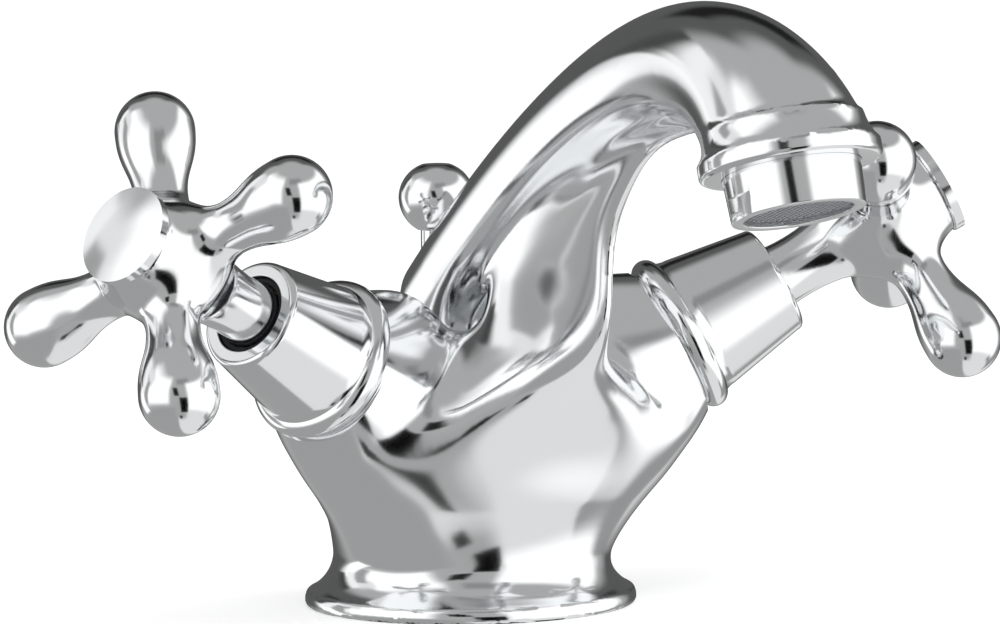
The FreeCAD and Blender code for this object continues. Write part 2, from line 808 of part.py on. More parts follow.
def cross_handle(word, side, frame):
    """Handle: neck, hub and four arms that end in balls, with the spindle bore and the screw well."""
    name = word + "_cross_handle"
    hub = turned(name + "_hub", [
        ("0", "handle_neck_start"),
        ("handle_neck_radius", "handle_neck_start"),
        ("handle_neck_radius", "bell_mouth"),
        ("handle_hub_radius", "arm_plane - handle_hub_radius / 2", "handle_trumpet_bend", -1),
        ("handle_hub_radius", "arm_plane + handle_hub_radius / 2"),
        ("handle_rim_radius", "handle_hub_end"),
        ("0", "handle_hub_end"),
    ], frame)
    pieces = [hub]
    turn = FreeCAD.Vector(0, 0, 1)
    for number in range(int(amount("arm_count"))):
        angle = number * 360 / amount("arm_count") - side * amount("arm_turn_angle")
        plane = FreeCAD.Placement(vector("0", "0", "arm_plane"), FreeCAD.Rotation(turn, angle))
        arm_frame = frame.multiply(plane)
        lay = FreeCAD.Rotation(FreeCAD.Vector(0, 1, 0), 90)
        sections = []
        for place, (reach_share, swell_share) in enumerate(ARM_STATION_SHARES):
            local = FreeCAD.Placement(vector("arm_reach * %g" % reach_share, "0", "0"), lay)
            radius = "arm_waist_radius + (ball_radius - arm_waist_radius) * %g" % swell_share
            sections.append(
                circle("%s_arm_%d_section_%d" % (word, number, place), radius, arm_frame.multiply(local))
            )
        pieces.append(loft("%s_arm_%d" % (word, number), sections))
        ball = doc.addObject("Part::Sphere", "%s_ball_%d" % (word, number))
        ball.Placement = arm_frame.multiply(FreeCAD.Placement(vector("arm_reach", "0", "0"), lay))
        pieces.append(bind(ball, Radius="ball_radius"))
    bore = turned(name + "_bore", [
        ("0", "handle_neck_start - cut_overrun"),
        ("spindle_radius + handle_spindle_gap", "handle_neck_start - cut_overrun"),
        ("spindle_radius + handle_spindle_gap", "spindle_end"),
        ("screw_radius + screw_gap", "spindle_end"),
        ("screw_radius + screw_gap", "spindle_end + handle_floor"),
        ("handle_well_radius", "spindle_end + handle_floor"),
        ("handle_well_radius", "handle_hub_end + cut_overrun"),
        ("0", "handle_hub_end + cut_overrun"),
    ], frame)
    return cut(name, joined(name + "_form", pieces), bore)


def handle_screw(word, frame):
    """Slotted screw that holds the handle on the spindle."""
    name = word + "_handle_screw"
    seat = "spindle_end + handle_floor"
    body = turned(name, [
        ("0", seat + " - screw_length"),
        ("screw_radius - screw_gap / 2", seat + " - screw_length"),
        ("screw_radius - screw_gap / 2", seat),
        ("screw_head_radius", seat),
        ("screw_head_radius", seat + " + screw_head_height"),
        ("0", seat + " + screw_head_height"),
    ], frame)
    shape_in(
        body, "SubtractiveBox", name + "_slot",
        shift("-screw_head_radius - cut_overrun", "-screw_slot_width / 2",
              seat + " + screw_head_height - screw_slot_depth"),
        Length="2 * (screw_head_radius + cut_overrun)", Width="screw_slot_width",
        Height="screw_slot_depth + cut_overrun",
    )
    return body


def index_cap(word, frame):
    """Plain domed cap that closes the handle's screw well."""
    return turned(word + "_index_cap", [
        ("0", "handle_hub_end - cap_plug_length"),
        ("cap_plug_radius", "handle_hub_end - cap_plug_length"),
        ("cap_plug_radius", "handle_hub_end"),
        ("cap_radius", "handle_hub_end"),
        ("cap_radius", "handle_hub_end + cap_rim_height"),
        ("0", "handle_hub_end + cap_rim_height + cap_dome_height",
         dome_bend("cap_radius", "cap_dome_height"), 1),
    ], frame)


# Base and clamp pieces

def clamp_part(label, low, height):
    """Horseshoe plate around the stud, open to the back for hoses and rod."""
    body = disc(label, "clamp_radius", low, low + " + " + height)
    shape_in(
        body, "SubtractiveBox", label + "_slot",
        shift("-clamp_slot_width / 2", "-clamp_slot_front", low + " - cut_overrun"),
        Length="clamp_slot_width", Width="clamp_radius + clamp_slot_front + cut_overrun",
        Height=height + " + 2 * cut_overrun",
    )
    shape_in(
        body, "SubtractiveCylinder", label + "_stud_hole",
        shift("0", "-stud_shift", low + " - cut_overrun"),
        Radius="stud_radius + fixing_clearance", Height=height + " + 2 * cut_overrun",
    )
    return body


PAD_LOW = "0 - deck_thickness - clamp_pad_height"
PLATE_LOW = PAD_LOW + " - clamp_plate_height"
WASHER_LOW = PLATE_LOW + " - washer_height"
NUT_LOW = WASHER_LOW + " - nut_height"
STUD_AXIS = shift(along="-stud_shift")
ROD_AXIS = shift(along="rod_shift")


def clamp_nut():
    """Hexagon nut on the stud."""
    body = doc.addObject("PartDesign::Body", "clamp_nut")
    prism = shape_in(
        body, "AdditivePrism", "clamp_nut_hexagon", shift(up=NUT_LOW),
        Circumradius="nut_across_flats / sqrt(3)", Height="nut_height",
    )
    prism.Polygon = int(amount("hexagon_count"))
    shape_in(
        body, "SubtractiveCylinder", "clamp_nut_thread", shift(up=NUT_LOW + " - cut_overrun"),
        Radius="stud_radius + stud_clearance", Height="nut_height + 2 * cut_overrun",
    )
    body.Placement = STUD_AXIS
    doc.recompute()
    return body


def popup_knob():
    """Knob of the pop-up rod: rounded, flat on top, narrowed below, with a blind socket."""
    low = KNOB_RISE + " - knob_height / 2"
    high = KNOB_RISE + " + knob_height / 2"
    return turned("popup_knob", [
        ("rod_radius", low),
        ("knob_foot_radius", low),
        ("knob_radius", KNOB_RISE, "knob_radius", 1),
        ("knob_crown_radius", high, "knob_bend", 1),
        ("0", high),
        ("0", low + " + knob_socket_depth"),
        ("rod_radius", low + " + knob_socket_depth"),
    ], ROD_AXIS)


# Aerator pieces along the outlet axis

def aerator_housing():
    """Threaded ring with a plain skirt and two spanner flats."""
    thread = "aerator_thread_radius - aerator_thread_fit"
    body = turned("aerator_housing", [
        ("aerator_bore_radius", "0 - aerator_thread_length"),
        (thread, "0 - aerator_thread_length"),
        (thread, "0"),
        ("aerator_skirt_top_radius", "0"),
        ("aerator_skirt_end_radius", "aerator_skirt_length"),
        ("grille_lip_bore", "aerator_skirt_length"),
        ("grille_lip_bore", "insert_end + grille_thickness"),
        ("aerator_bore_radius", "insert_end + grille_thickness"),
    ], OUTLET_FRAME)
    flat_low = "aerator_skirt_length - aerator_flat_height"
    flat = shape_in(
        body, "SubtractiveBox", "aerator_flat",
        shift("-aerator_skirt_top_radius", "aerator_flat_across / 2", flat_low),
        Length="2 * aerator_skirt_top_radius", Width="aerator_skirt_top_radius",
        Height="aerator_flat_height + cut_overrun",
    )
    around(body, flat, "aerator_flats", "aerator_flat_count")
    return body


def aerator_insert():
    """Plastic cup with a ring of jets that mixes air into the water."""
    body = turned("aerator_insert", [
        ("0", "0 - aerator_thread_length"),
        ("insert_radius", "0 - aerator_thread_length"),
        ("insert_radius", "insert_end"),
        ("insert_radius - insert_wall", "insert_end"),
        ("insert_radius - insert_wall", "insert_floor - aerator_thread_length"),
        ("0", "insert_floor - aerator_thread_length"),
    ], OUTLET_FRAME)
    jet = shape_in(
        body, "SubtractiveCylinder", "aerator_jet",
        shift("jet_circle_radius", "0", "-aerator_thread_length - cut_overrun"),
        Radius="jet_radius", Height="insert_floor + 2 * cut_overrun",
    )
    around(body, jet, "aerator_jets", "jet_count")
    return body


def aerator_grille():
    """Flow straightener at the mouth of the aerator: a disc with two rings of holes."""
    body = disc("aerator_grille", "insert_radius", "insert_end", "insert_end + grille_thickness", OUTLET_FRAME)
    for word in ("inner", "outer"):
        hole = shape_in(
            body, "SubtractiveCylinder", "grille_%s_hole" % word,
            shift("grille_%s_circle" % word, "0", "insert_end - cut_overrun"),
            Radius="grille_hole_radius", Height="grille_thickness + 2 * cut_overrun",
        )
        around(body, hole, "grille_%s_holes" % word, "grille_%s_count" % word)
    return body


# All sub-parts

parts = [
    body_casting(),
    ring("base_seal", "base_seal_inner", "base_seal_outer", "0", "base_seal_height"),
    clamp_part("clamp_pad", PAD_LOW, "clamp_pad_height"),
    clamp_part("clamp_plate", PLATE_LOW, "clamp_plate_height"),
    ring("clamp_washer", "stud_radius + fixing_clearance", "washer_radius", WASHER_LOW, PLATE_LOW, STUD_AXIS),
    clamp_nut(),
    disc("fixing_stud", "stud_radius", "stud_grip - stud_length", "stud_grip", STUD_AXIS),
    turned("rod_guide", [
        ("rod_radius + rod_running_gap", "0"),
        ("rod_guide_radius", "0"),
        ("rod_guide_radius", "rod_guide_height"),
        ("rod_radius + rod_running_gap", "rod_guide_height"),
    ], ROD_AXIS),
    disc(
        "popup_rod", "rod_radius", "0 - rod_drop",
        KNOB_RISE + " - knob_height / 2 + knob_socket_depth", ROD_AXIS,
    ),
    popup_knob(),
    ring(
        "aerator_washer", "aerator_washer_bore", "aerator_thread_radius - aerator_thread_fit",
        "0 - aerator_thread_length - aerator_washer_height", "0 - aerator_thread_length", OUTLET_FRAME,
    ),
    aerator_housing(),
    aerator_insert(),
    aerator_grille(),
]
for word, side in SIDES.items():
    frame = horn_frame(side)
    parts += [
        bell_cover(word, frame),
        mouth_seal(word, frame),
        headwork(word, frame),
        flange_seal(word, frame),
        seat_seal(word, frame),
        ported_disc(word + "_fixed_disc", FIXED_DISC_LOW, frame),
        ported_disc(word + "_turning_disc", TURNING_DISC_LOW, frame),
        spindle(word, frame),
        spindle_seal(word, frame),
        spindle_clip(word, frame),
        cross_handle(word, side, frame),
        handle_screw(word, frame),
        index_cap(word, frame),
    ]

doc.recompute()
failed = [item.Label for item in doc.Objects if "Invalid" in item.State or "Error" in item.State]
failed += [part.Label for part in parts if part.Shape.isNull() or not part.Shape.isValid()]
if failed:
    raise RuntimeError("These are not built: " + ", ".join(failed))

os.makedirs("parts", exist_ok=True)
for part in parts:
    part.Shape.exportStep("parts/%s.step" % part.Label)
    print(part.Label, len(part.Shape.Solids), round(part.Shape.Volume, 1))
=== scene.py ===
"""Dressed scene of a two-handle basin mixer tap with an arched spout.

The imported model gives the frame. The polished pieces that show are rebuilt here as smooth closed meshes
in the same places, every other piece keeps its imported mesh, and each finish is a node material. Lengths
are in millimetres until a mesh is made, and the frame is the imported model's: +Z up, spout towards -Y.
"""

import json
import logging
import math
from dataclasses import asdict, dataclass, field
from enum import Enum
from typing import Callable, Sequence

import bpy
import numpy as np
from mathutils import Matrix, Vector


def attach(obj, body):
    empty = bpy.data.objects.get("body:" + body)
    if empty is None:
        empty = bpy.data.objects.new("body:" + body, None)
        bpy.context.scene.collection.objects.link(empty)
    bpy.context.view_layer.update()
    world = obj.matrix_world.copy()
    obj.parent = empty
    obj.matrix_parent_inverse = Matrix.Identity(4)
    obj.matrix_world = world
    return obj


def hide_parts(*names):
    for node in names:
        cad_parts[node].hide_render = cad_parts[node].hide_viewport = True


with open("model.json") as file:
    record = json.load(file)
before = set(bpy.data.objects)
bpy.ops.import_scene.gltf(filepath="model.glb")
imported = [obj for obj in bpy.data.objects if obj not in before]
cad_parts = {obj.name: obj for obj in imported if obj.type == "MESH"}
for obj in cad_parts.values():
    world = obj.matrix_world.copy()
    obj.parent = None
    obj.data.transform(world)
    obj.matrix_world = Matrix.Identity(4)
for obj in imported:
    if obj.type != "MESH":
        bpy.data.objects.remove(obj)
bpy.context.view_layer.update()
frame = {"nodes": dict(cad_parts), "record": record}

LOG = logging.getLogger("basin_mixer")
MM = 0.001
TINY = 1e-6

Array = np.ndarray
Field = Callable[[Array], Array]
Corner = tuple


class Side(Enum):
    """The two sides of the tap, with the sign of X."""

    LEFT = -1
    RIGHT = 1

    @property
    def word(self) -> str:
        """Name of the side as the nodes use it."""
        return self.name.lower()


class Slot(Enum):
    """Material slots of the record."""

    CHROME = "chrome"
    BRASS = "raw_brass"
    STEEL = "zinc_steel"
    RUBBER = "black_rubber"
    PLASTIC = "grey_plastic"
    CERAMIC = "ceramic"


# Curves and outlines


class SmoothTable:
    """Natural cubic curve through rows of place and value, level beyond its ends."""

    def __init__(self, rows: Sequence[tuple[float, float]]) -> None:
        """Work out the curve's second derivatives.

        Args:
            rows: Places in rising order, each with its value.
        """
        self.places = np.array([row[0] for row in rows], float)
        self.values = np.array([row[1] for row in rows], float)
        gaps = np.diff(self.places)
        rises = np.diff(self.values) / gaps
        system = np.eye(len(rows))
        slopes = np.zeros(len(rows))
        for index in range(1, len(rows) - 1):
            before, after = gaps[index - 1], gaps[index]
            system[index, index - 1:index + 2] = before, 2 * (before + after), after
            slopes[index] = 6 * (rises[index] - rises[index - 1])
        self.bends = np.linalg.solve(system, slopes)

    def at(self, place: Array) -> Array:
        """Values of the curve.

        Args:
            place: Places to read, which are held inside the table.

        Returns:
            One value for each place.
        """
        held = np.clip(place, self.places[0], self.places[-1])
        index = np.clip(np.searchsorted(self.places, held) - 1, 0, len(self.places) - 2)
        gap = self.places[index + 1] - self.places[index]
        left = (self.places[index + 1] - held) / gap
        right = (held - self.places[index]) / gap
        bend = (left**3 - left) * self.bends[index] + (right**3 - right) * self.bends[index + 1]
        return left * self.values[index] + right * self.values[index + 1] + bend * gap * gap / 6


def curve(*rows: tuple[float, float]) -> SmoothTable:
    """Dataclass field whose usual value is the smooth table of these rows."""
    return field(default_factory=lambda: SmoothTable(rows))


@dataclass(frozen=True)
class Outline:
    """Closed outline of (radius, height) corners.

    A corner may hold two more values, the radius of the arc that leads to it and its side: 1 bulges
    outwards and -1 is hollow. The way round keeps the solid on its left.
    """

    corners: tuple[Corner, ...]
    edge_radius: float = 0.0
    step_angle: float = 4.0
    side_share: float = 2.2
    flat_angle: float = math.radians(12)

    def points(self) -> Array:
        """The outline as a dense closed polygon.

        Returns:
            Points as rows of radius and height.
        """
        corners = self._softened() if self.edge_radius else list(self.corners)
        dense: list[tuple[float, float]] = []
        for corner, after in zip(corners, corners[1:] + corners[:1]):
            start = np.array(corner[:2], float)
            if len(after) > 2:
                dense += self._arc(start, np.array(after[:2], float), after[2], after[3])
            else:
                dense.append(tuple(start))
        return np.array(dense)

    def _arc(self, start: Array, end: Array, bend: float, side: int) -> list[tuple[float, float]]:
        """Points of the arc between two corners, without the last one.

        Args:
            start: First point.
            end: Last point.
            bend: Radius of the arc.
            side: 1 where it bulges to the right of the way, -1 where it is hollow.

        Returns:
            Points from the start up to the end.
        """
        chord = end - start
        length = float(np.hypot(*chord))
        reach = math.asin(min(length / 2 / bend, 1.0))
        right = np.array([chord[1], -chord[0]]) / length
        centre = (start + end) / 2 - right * side * bend * math.cos(reach)
        first = start - centre
        steps = max(3, math.ceil(math.degrees(2 * reach) / self.step_angle))
        made = []
        for number in range(steps):
            angle = 2 * reach * side * number / steps
            cosine, sine = math.cos(angle), math.sin(angle)
            across = centre[0] + first[0] * cosine - first[1] * sine
            made.append((across, centre[1] + first[0] * sine + first[1] * cosine))
        return made

    def _softened(self) -> list[Corner]:
        """Cut each sharp corner, where two straight sides meet off the axis, by a small arc.

        Returns:
            The corners of the softened outline.
        """
        made: list[Corner] = []
        for index, corner in enumerate(self.corners):
            before = self.corners[index - 1]
            after = self.corners[(index + 1) % len(self.corners)]
            here = np.array(corner[:2], float)
            back = np.array(before[:2], float) - here
            ahead = np.array(after[:2], float) - here
            straight = len(corner) == 2 and len(after) == 2
            room = min(np.hypot(*back), np.hypot(*ahead)) / self.side_share
            if not straight or here[0] <= TINY or room < TINY:
                made.append(corner)
                continue
            back /= np.hypot(*back)
            ahead /= np.hypot(*ahead)
            cross = -back[0] * ahead[1] + back[1] * ahead[0]
            opening = math.acos(max(-1.0, min(1.0, float(back @ ahead))))
            if abs(math.pi - opening) < self.flat_angle:
                made.append(corner)
                continue
            length = min(self.edge_radius / math.tan(opening / 2), room)
            bend = length * math.tan(opening / 2)
            made.append(tuple(here + back * length))
            made.append((*(here + ahead * length), bend, 1 if cross > 0 else -1))
        return made


# Fields, negative inside a solid


def soft_union(first: Array, second: Array, blend: float) -> Array:
    """Union of two fields whose meeting line is filled by a soft hollow.

    Args:
        first: Values of one field.
        second: Values of the other field.
        blend: Width over which the fields flow into each other.

    Returns:
        Values of the joined field.
    """
    share = np.maximum(blend - np.abs(first - second), 0) / blend
    return np.minimum(first, second) - share * share * blend / 4


def oval_field(
    across: Array, along: Array, half_width: Array, half_length: Array, power: Array | float = 2.0
) -> Array:
    """Distance, measured outwards from the middle, to an oval.

    Args:
        across: Place along the first half axis.
        along: Place along the second half axis.
        half_width: First half axis.
        half_length: Second half axis.
        power: Two for an ellipse, more for a squarer oval, less for a more pointed one.

    Returns:
        Signed distances along the line from the middle.
    """
    least = 1e-9
    reach = np.sqrt(across * across + along * along) + least
    total = np.abs(across / half_width) ** power + np.abs(along / half_length) ** power
    return reach - reach / (total ** (1 / power) + least)


class LatheField:
    """Distance to a turned solid about Z, read from a fine table."""

    def __init__(self, outline: Outline, step: float = 0.2, margin: float = 12.0) -> None:
        """Fill the table.

        Args:
            outline: Closed outline of the solid.
            step: Grid step of the table.
            margin: Room around the outline that the table covers.
        """
        points = outline.points()
        self.step = step
        self.low = np.array([-0.5, points[:, 1].min() - margin])
        high = np.array([points[:, 0].max() + margin, points[:, 1].max() + margin])
        shape = np.ceil((high - self.low) / step).astype(int) + 1
        places = [self.low[axis] + np.arange(shape[axis]) * step for axis in (0, 1)]
        grid = np.stack(np.meshgrid(*places, indexing="ij"), -1).reshape(-1, 2)
        nearest = np.full(len(grid), np.inf)
        inside = np.zeros(len(grid), bool)
        for start, end in zip(points, np.roll(points, -1, axis=0)):
            run = end - start
            length = float(run @ run)
            if length < TINY**2:
                continue
            if start[0] > TINY or end[0] > TINY:
                share = np.clip((grid - start) @ run / length, 0, 1)
                gap = grid - start - share[:, None] * run
                nearest = np.minimum(nearest, (gap * gap).sum(1))
            if start[1] != end[1]:
                crosses = (start[1] > grid[:, 1]) != (end[1] > grid[:, 1])
                where = start[0] + (grid[:, 1] - start[1]) / (end[1] - start[1]) * run[0]
                inside ^= crosses & (np.abs(grid[:, 0]) < where)
        distance = np.sqrt(nearest)
        distance[inside] *= -1
        self.table = distance.reshape(shape)

    def at(self, radius: Array, height: Array) -> Array:
        """Distances read from the table.

        Args:
            radius: Distances from the axis.
            height: Heights along it.

        Returns:
            Signed distances to the solid.
        """
        last = 1.001
        across = np.clip((radius - self.low[0]) / self.step, 0, self.table.shape[0] - last)
        up = np.clip((height - self.low[1]) / self.step, 0, self.table.shape[1] - last)
        column, row = across.astype(int), up.astype(int)
        across, up = across - column, up - row
        lower = self.table[column, row] * (1 - across) + self.table[column + 1, row] * across
        upper = self.table[column, row + 1] * (1 - across) + self.table[column + 1, row + 1] * across
        return lower * (1 - up) + upper * up


# Meshes


@dataclass(frozen=True)
class Net:
    """Closed mesh of a field's surface on a grid of cubes, smoothed and set back onto the surface."""

    field: Field
    low: tuple[float, float, float]
    high: tuple[float, float, float]
    step: float
    coarse: int = 6
    near_share: float = 1.35
    first_steps: int = 3
    later_steps: int = 2
    rounds: int = 4
    smoothing: float = 0.6
    probe_share: float = 0.08
    move_share: float = 0.6
    least_slope: float = 0.05

    def build(self) -> tuple[Array, Array]:
        """Find the surface and smooth it.

        Returns:
            Vertices and quads, facing outwards.
        """
        vertices, quads = self._surface(*self._sample())
        vertices = self._settle(vertices, self.first_steps)
        edges = np.concatenate([quads[:, [0, 1]], quads[:, [1, 2]], quads[:, [2, 3]], quads[:, [3, 0]]])
        for _ in range(self.rounds):
            total = np.zeros_like(vertices)
            count = np.zeros(len(vertices))
            for first, second in ((0, 1), (1, 0)):
                np.add.at(total, edges[:, first], vertices[edges[:, second]])
                np.add.at(count, edges[:, first], 1)
            vertices = vertices + (total / count[:, None] - vertices) * self.smoothing
            vertices = self._settle(vertices, self.later_steps)
        return vertices, quads

    def _sample(self) -> tuple[Array, Array]:
        """Field values on the fine grid, worked out only near the surface.

        Returns:
            Grid of values and its origin.
        """
        origin = np.array(self.low, float)
        block = self.step * self.coarse
        blocks = np.ceil((np.array(self.high) - origin) / block).astype(int)
        centres = [origin[axis] + (np.arange(blocks[axis]) + 0.5) * block for axis in range(3)]
        places = np.stack(np.meshgrid(*centres, indexing="ij"), -1).reshape(-1, 3)
        rough = self.field(places).reshape(blocks)
        fine = rough
        for axis in range(3):
            fine = np.repeat(fine, self.coarse, axis)
        values = np.pad(fine, ((0, 1), (0, 1), (0, 1)), mode="edge")
        wanted = np.zeros(values.shape, bool)
        offsets = np.arange(self.coarse + 1)
        for index in np.argwhere(np.abs(rough) < block * self.near_share):
            wanted[np.ix_(*(start * self.coarse + offsets for start in index))] = True
        values[wanted] = self.field(origin + np.argwhere(wanted) * self.step)
        return values, origin

    def _surface(self, values: Array, origin: Array) -> tuple[Array, Array]:
        """Naive surface net of the grid.

        Args:
            values: Field values on the grid.
            origin: Place of the grid's first point.

        Returns:
            Vertices and quads, facing outwards.
        """
        inside = values < 0
        corners = [(x, y, z) for x in (0, 1) for y in (0, 1) for z in (0, 1)]
        shape = np.array(values.shape) - 1

        def part(corner: tuple[int, int, int]) -> Array:
            """Which cells have this corner inside."""
            return inside[tuple(slice(corner[axis], corner[axis] + shape[axis]) for axis in range(3))]

        count = sum(part(corner).astype(np.int8) for corner in corners)
        active = (count > 0) & (count < len(corners))
        cells = np.argwhere(active)
        number = np.full(active.shape, -1)
        number[active] = np.arange(len(cells))
        total = np.zeros((len(cells), 3))
        crossings = np.zeros(len(cells))
        for first in corners:
            for axis in range(3):
                if first[axis]:
                    continue
                second = tuple(1 if place == axis else first[place] for place in range(3))
                a = values[tuple((cells + first).T)]
                b = values[tuple((cells + second).T)]
                crosses = (a < 0) != (b < 0)
                share = np.where(crosses, a / np.where(crosses, a - b, 1), 0)
                point = np.array(first, float) + share[:, None] * (np.array(second) - np.array(first))
                total[crosses] += point[crosses]
                crossings[crosses] += 1
        vertices = origin + (cells + total / crossings[:, None]) * self.step
        quads = []
        for axis in range(3):
            one, two = (axis + 1) % 3, (axis + 2) % 3
            lower = [slice(1, size) for size in shape]
            upper = list(lower)
            lower[axis] = slice(0, shape[axis])
            upper[axis] = slice(1, shape[axis] + 1)
            a = inside[tuple(lower)]
            b = inside[tuple(upper)]
            for starts_inside in (True, False):
                base = np.argwhere((a == starts_inside) & (b != starts_inside)) + 1
                base[:, axis] -= 1
                ring = []
                for back_one, back_two in ((0, 0), (1, 0), (1, 1), (0, 1)):
                    cell = base.copy()
                    cell[:, one] -= back_one
                    cell[:, two] -= back_two
                    ring.append(number[tuple(cell.T)])
                face = np.stack(ring, 1)
                quads.append(face if starts_inside else face[:, ::-1])
        return vertices, np.concatenate(quads)

    def _settle(self, vertices: Array, steps: int) -> Array:
        """Move vertices onto the surface along the field's slope.

        Args:
            vertices: Vertices near the surface.
            steps: How many corrections to make.

        Returns:
            The moved vertices.
        """
        reach = self.step * self.probe_share
        for _ in range(steps):
            value = self.field(vertices)
            slope = np.zeros_like(vertices)
            for axis in range(3):
                shifted = vertices.copy()
                shifted[:, axis] += reach
                slope[:, axis] = (self.field(shifted) - value) / reach
            move = slope * (value / np.maximum((slope * slope).sum(1), self.least_slope))[:, None]
            length = np.sqrt((move * move).sum(1))
            limit = np.minimum(1.0, self.step * self.move_share / np.maximum(length, TINY))
            vertices = vertices - move * limit[:, None]
        return vertices


def lathe_data(outline: Outline, around: int = 160) -> tuple[Array, list[tuple[int, ...]]]:
    """Closed mesh of an outline turned about Z.

    Args:
        outline: Closed outline of radius and height.
        around: How many columns the mesh has.

    Returns:
        Vertices in millimetres, and faces that look outwards.
    """
    angles = np.arange(around) * 2 * math.pi / around
    vertices: list[tuple[float, float, float]] = []
    rings: list[list[int]] = []
    for radius, height in outline.points():
        start = len(vertices)
        if radius < TINY:
            vertices.append((0.0, 0.0, height))
            rings.append([start] * around)
        else:
            vertices += [(radius * math.cos(a), radius * math.sin(a), height) for a in angles]
            rings.append(list(range(start, start + around)))
    faces = []
    for ring, after in zip(rings, rings[1:] + rings[:1]):
        if ring[0] == ring[1] and after[0] == after[1]:
            continue
        for column in range(around):
            right = (column + 1) % around
            face = (ring[column], ring[right], after[right], after[column])
            faces.append(tuple(dict.fromkeys(face)))
    return np.array(vertices), faces


def new_object(name: str, data: bpy.types.ID) -> bpy.types.Object:
    """Object linked to the scene.

    Args:
        name: Name of the object.
        data: Its mesh, lamp or camera.

    Returns:
        The object.
    """
    made = bpy.data.objects.new(name, data)
    bpy.context.scene.collection.objects.link(made)
    return made


def make_object(
    name: str, vertices: Array, faces: Sequence[Sequence[int]], place: Matrix | None = None
) -> bpy.types.Object:
    """Object whose mesh holds its place, in metres.

    Args:
        name: Name of the object.
        vertices: Vertices in millimetres.
        faces: Faces that look outwards.
        place: Where the mesh goes, in millimetres.

    Returns:
        The linked object.
    """
    mesh = bpy.data.meshes.new(name)
    points = np.asarray(vertices, float)
    if place is not None:
        turn = np.array(place)
        points = points @ turn[:3, :3].T + turn[:3, 3]
    mesh.from_pydata((points * MM).tolist(), [], [tuple(int(i) for i in face) for face in faces])
    mesh.validate()
    return new_object(name, mesh)


def smooth(piece: bpy.types.Object, angle: float = 32.0) -> bpy.types.Object:
    """Shade a piece smoothly, with its real edges left sharp.

    Args:
        piece: The mesh object.
        angle: Edges that bend more than this, in degrees, stay sharp.

    Returns:
        The same object.
    """
    piece.data.shade_smooth()
    piece.data.set_sharp_from_angle(angle=math.radians(angle))
    return piece


def applied(piece: bpy.types.Object, modifier: bpy.types.Modifier) -> bpy.types.Mesh:
    """Mesh that a piece has with its modifier, which is then taken off.

    Args:
        piece: The object with the modifier.
        modifier: Its only modifier.

    Returns:
        The new mesh.
    """
    view = bpy.context.evaluated_depsgraph_get()
    mesh = bpy.data.meshes.new_from_object(piece.evaluated_get(view))
    piece.modifiers.remove(modifier)
    return mesh


def carve(piece: bpy.types.Object, cutters: Sequence[bpy.types.Object]) -> bpy.types.Object:
    """Cut solids out of a piece and delete them.

    Args:
        piece: The closed mesh that is cut.
        cutters: Closed meshes to take away.

    Returns:
        The same object with its new mesh.
    """
    for cutter in cutters:
        modifier = piece.modifiers.new("cut", "BOOLEAN")
        modifier.operation = "DIFFERENCE"
        modifier.solver = "MANIFOLD"
        modifier.object = cutter
        before = len(piece.data.vertices)
        piece.data = applied(piece, modifier)
        if len(piece.data.vertices) in (0, before):
            LOG.warning("%s was not cut by %s", piece.name, cutter.name)
        bpy.data.objects.remove(cutter)
    return piece


# Measures and frames of the tap


def facing(direction: Vector, origin: Vector) -> Matrix:
    """Frame with Z along a direction and X as near to up as it can be.

    Args:
        direction: Unit vector.
        origin: Origin of the frame.

    Returns:
        The frame as a matrix, in millimetres.
    """
    up = Vector((0, 0, 1))
    across = (up - direction * up.dot(direction)).normalized()
    turn = Matrix((across, direction.cross(across), direction)).transposed().to_4x4()
    return Matrix.Translation(origin) @ turn


@dataclass(frozen=True)
class HornAxis:
    """Axis of a valve and its handle, from the horn root outwards."""

    side: Side
    rise: float = 28.1
    turn: float = 18.4
    root: tuple[float, float, float] = (0.0, -1.0, 27.6)

    def place(self) -> Matrix:
        """Frame of the axis.

        Returns:
            Matrix at the root with Z outwards and X as near to up as it can be.
        """
        rise, turn = math.radians(self.rise), math.radians(self.turn)
        level = math.cos(rise)
        outwards = (self.side.value * level * math.cos(turn), -level * math.sin(turn), math.sin(rise))
        return facing(Vector(outwards), Vector(self.root))


ROD_PLACE = (0.0, 11.2)
OUTLET_ANGLE = math.radians(17.9)
OUTLET_PLACE = (0.0, -116.6, 87.8)
OUTLET = facing(Vector((0, -math.sin(OUTLET_ANGLE), -math.cos(OUTLET_ANGLE))), Vector(OUTLET_PLACE))


def past_outlet(y: Array, z: Array) -> Array:
    """How far points lie past the outlet's face, in millimetres."""
    _, middle, height = OUTLET_PLACE
    return -(y - middle) * math.sin(OUTLET_ANGLE) - (z - height) * math.cos(OUTLET_ANGLE)


def turned_cutter(
    name: str,
    corners: tuple[Corner, ...],
    centre: tuple[float, float] = (0.0, 0.0),
    place: Matrix | None = None,
) -> bpy.types.Object:
    """Turned solid that cuts another.

    Args:
        name: Name of the cutter.
        corners: Outline of radius and height.
        centre: Where its axis stands, when it is upright.
        place: Its frame, when it isn't.

    Returns:
        The cutter's object.
    """
    vertices, faces = lathe_data(Outline(corners), around=96)
    frame_of = place if place is not None else Matrix.Translation((*centre, 0))
    return make_object("cut_" + name, vertices, faces, frame_of)


@dataclass(frozen=True)
class Piece:
    """Finished object with the body it rides on, the nodes it stands for and its finish."""

    shape: bpy.types.Object
    body: str
    nodes: tuple[str, ...]
    slot: Slot


# Body casting


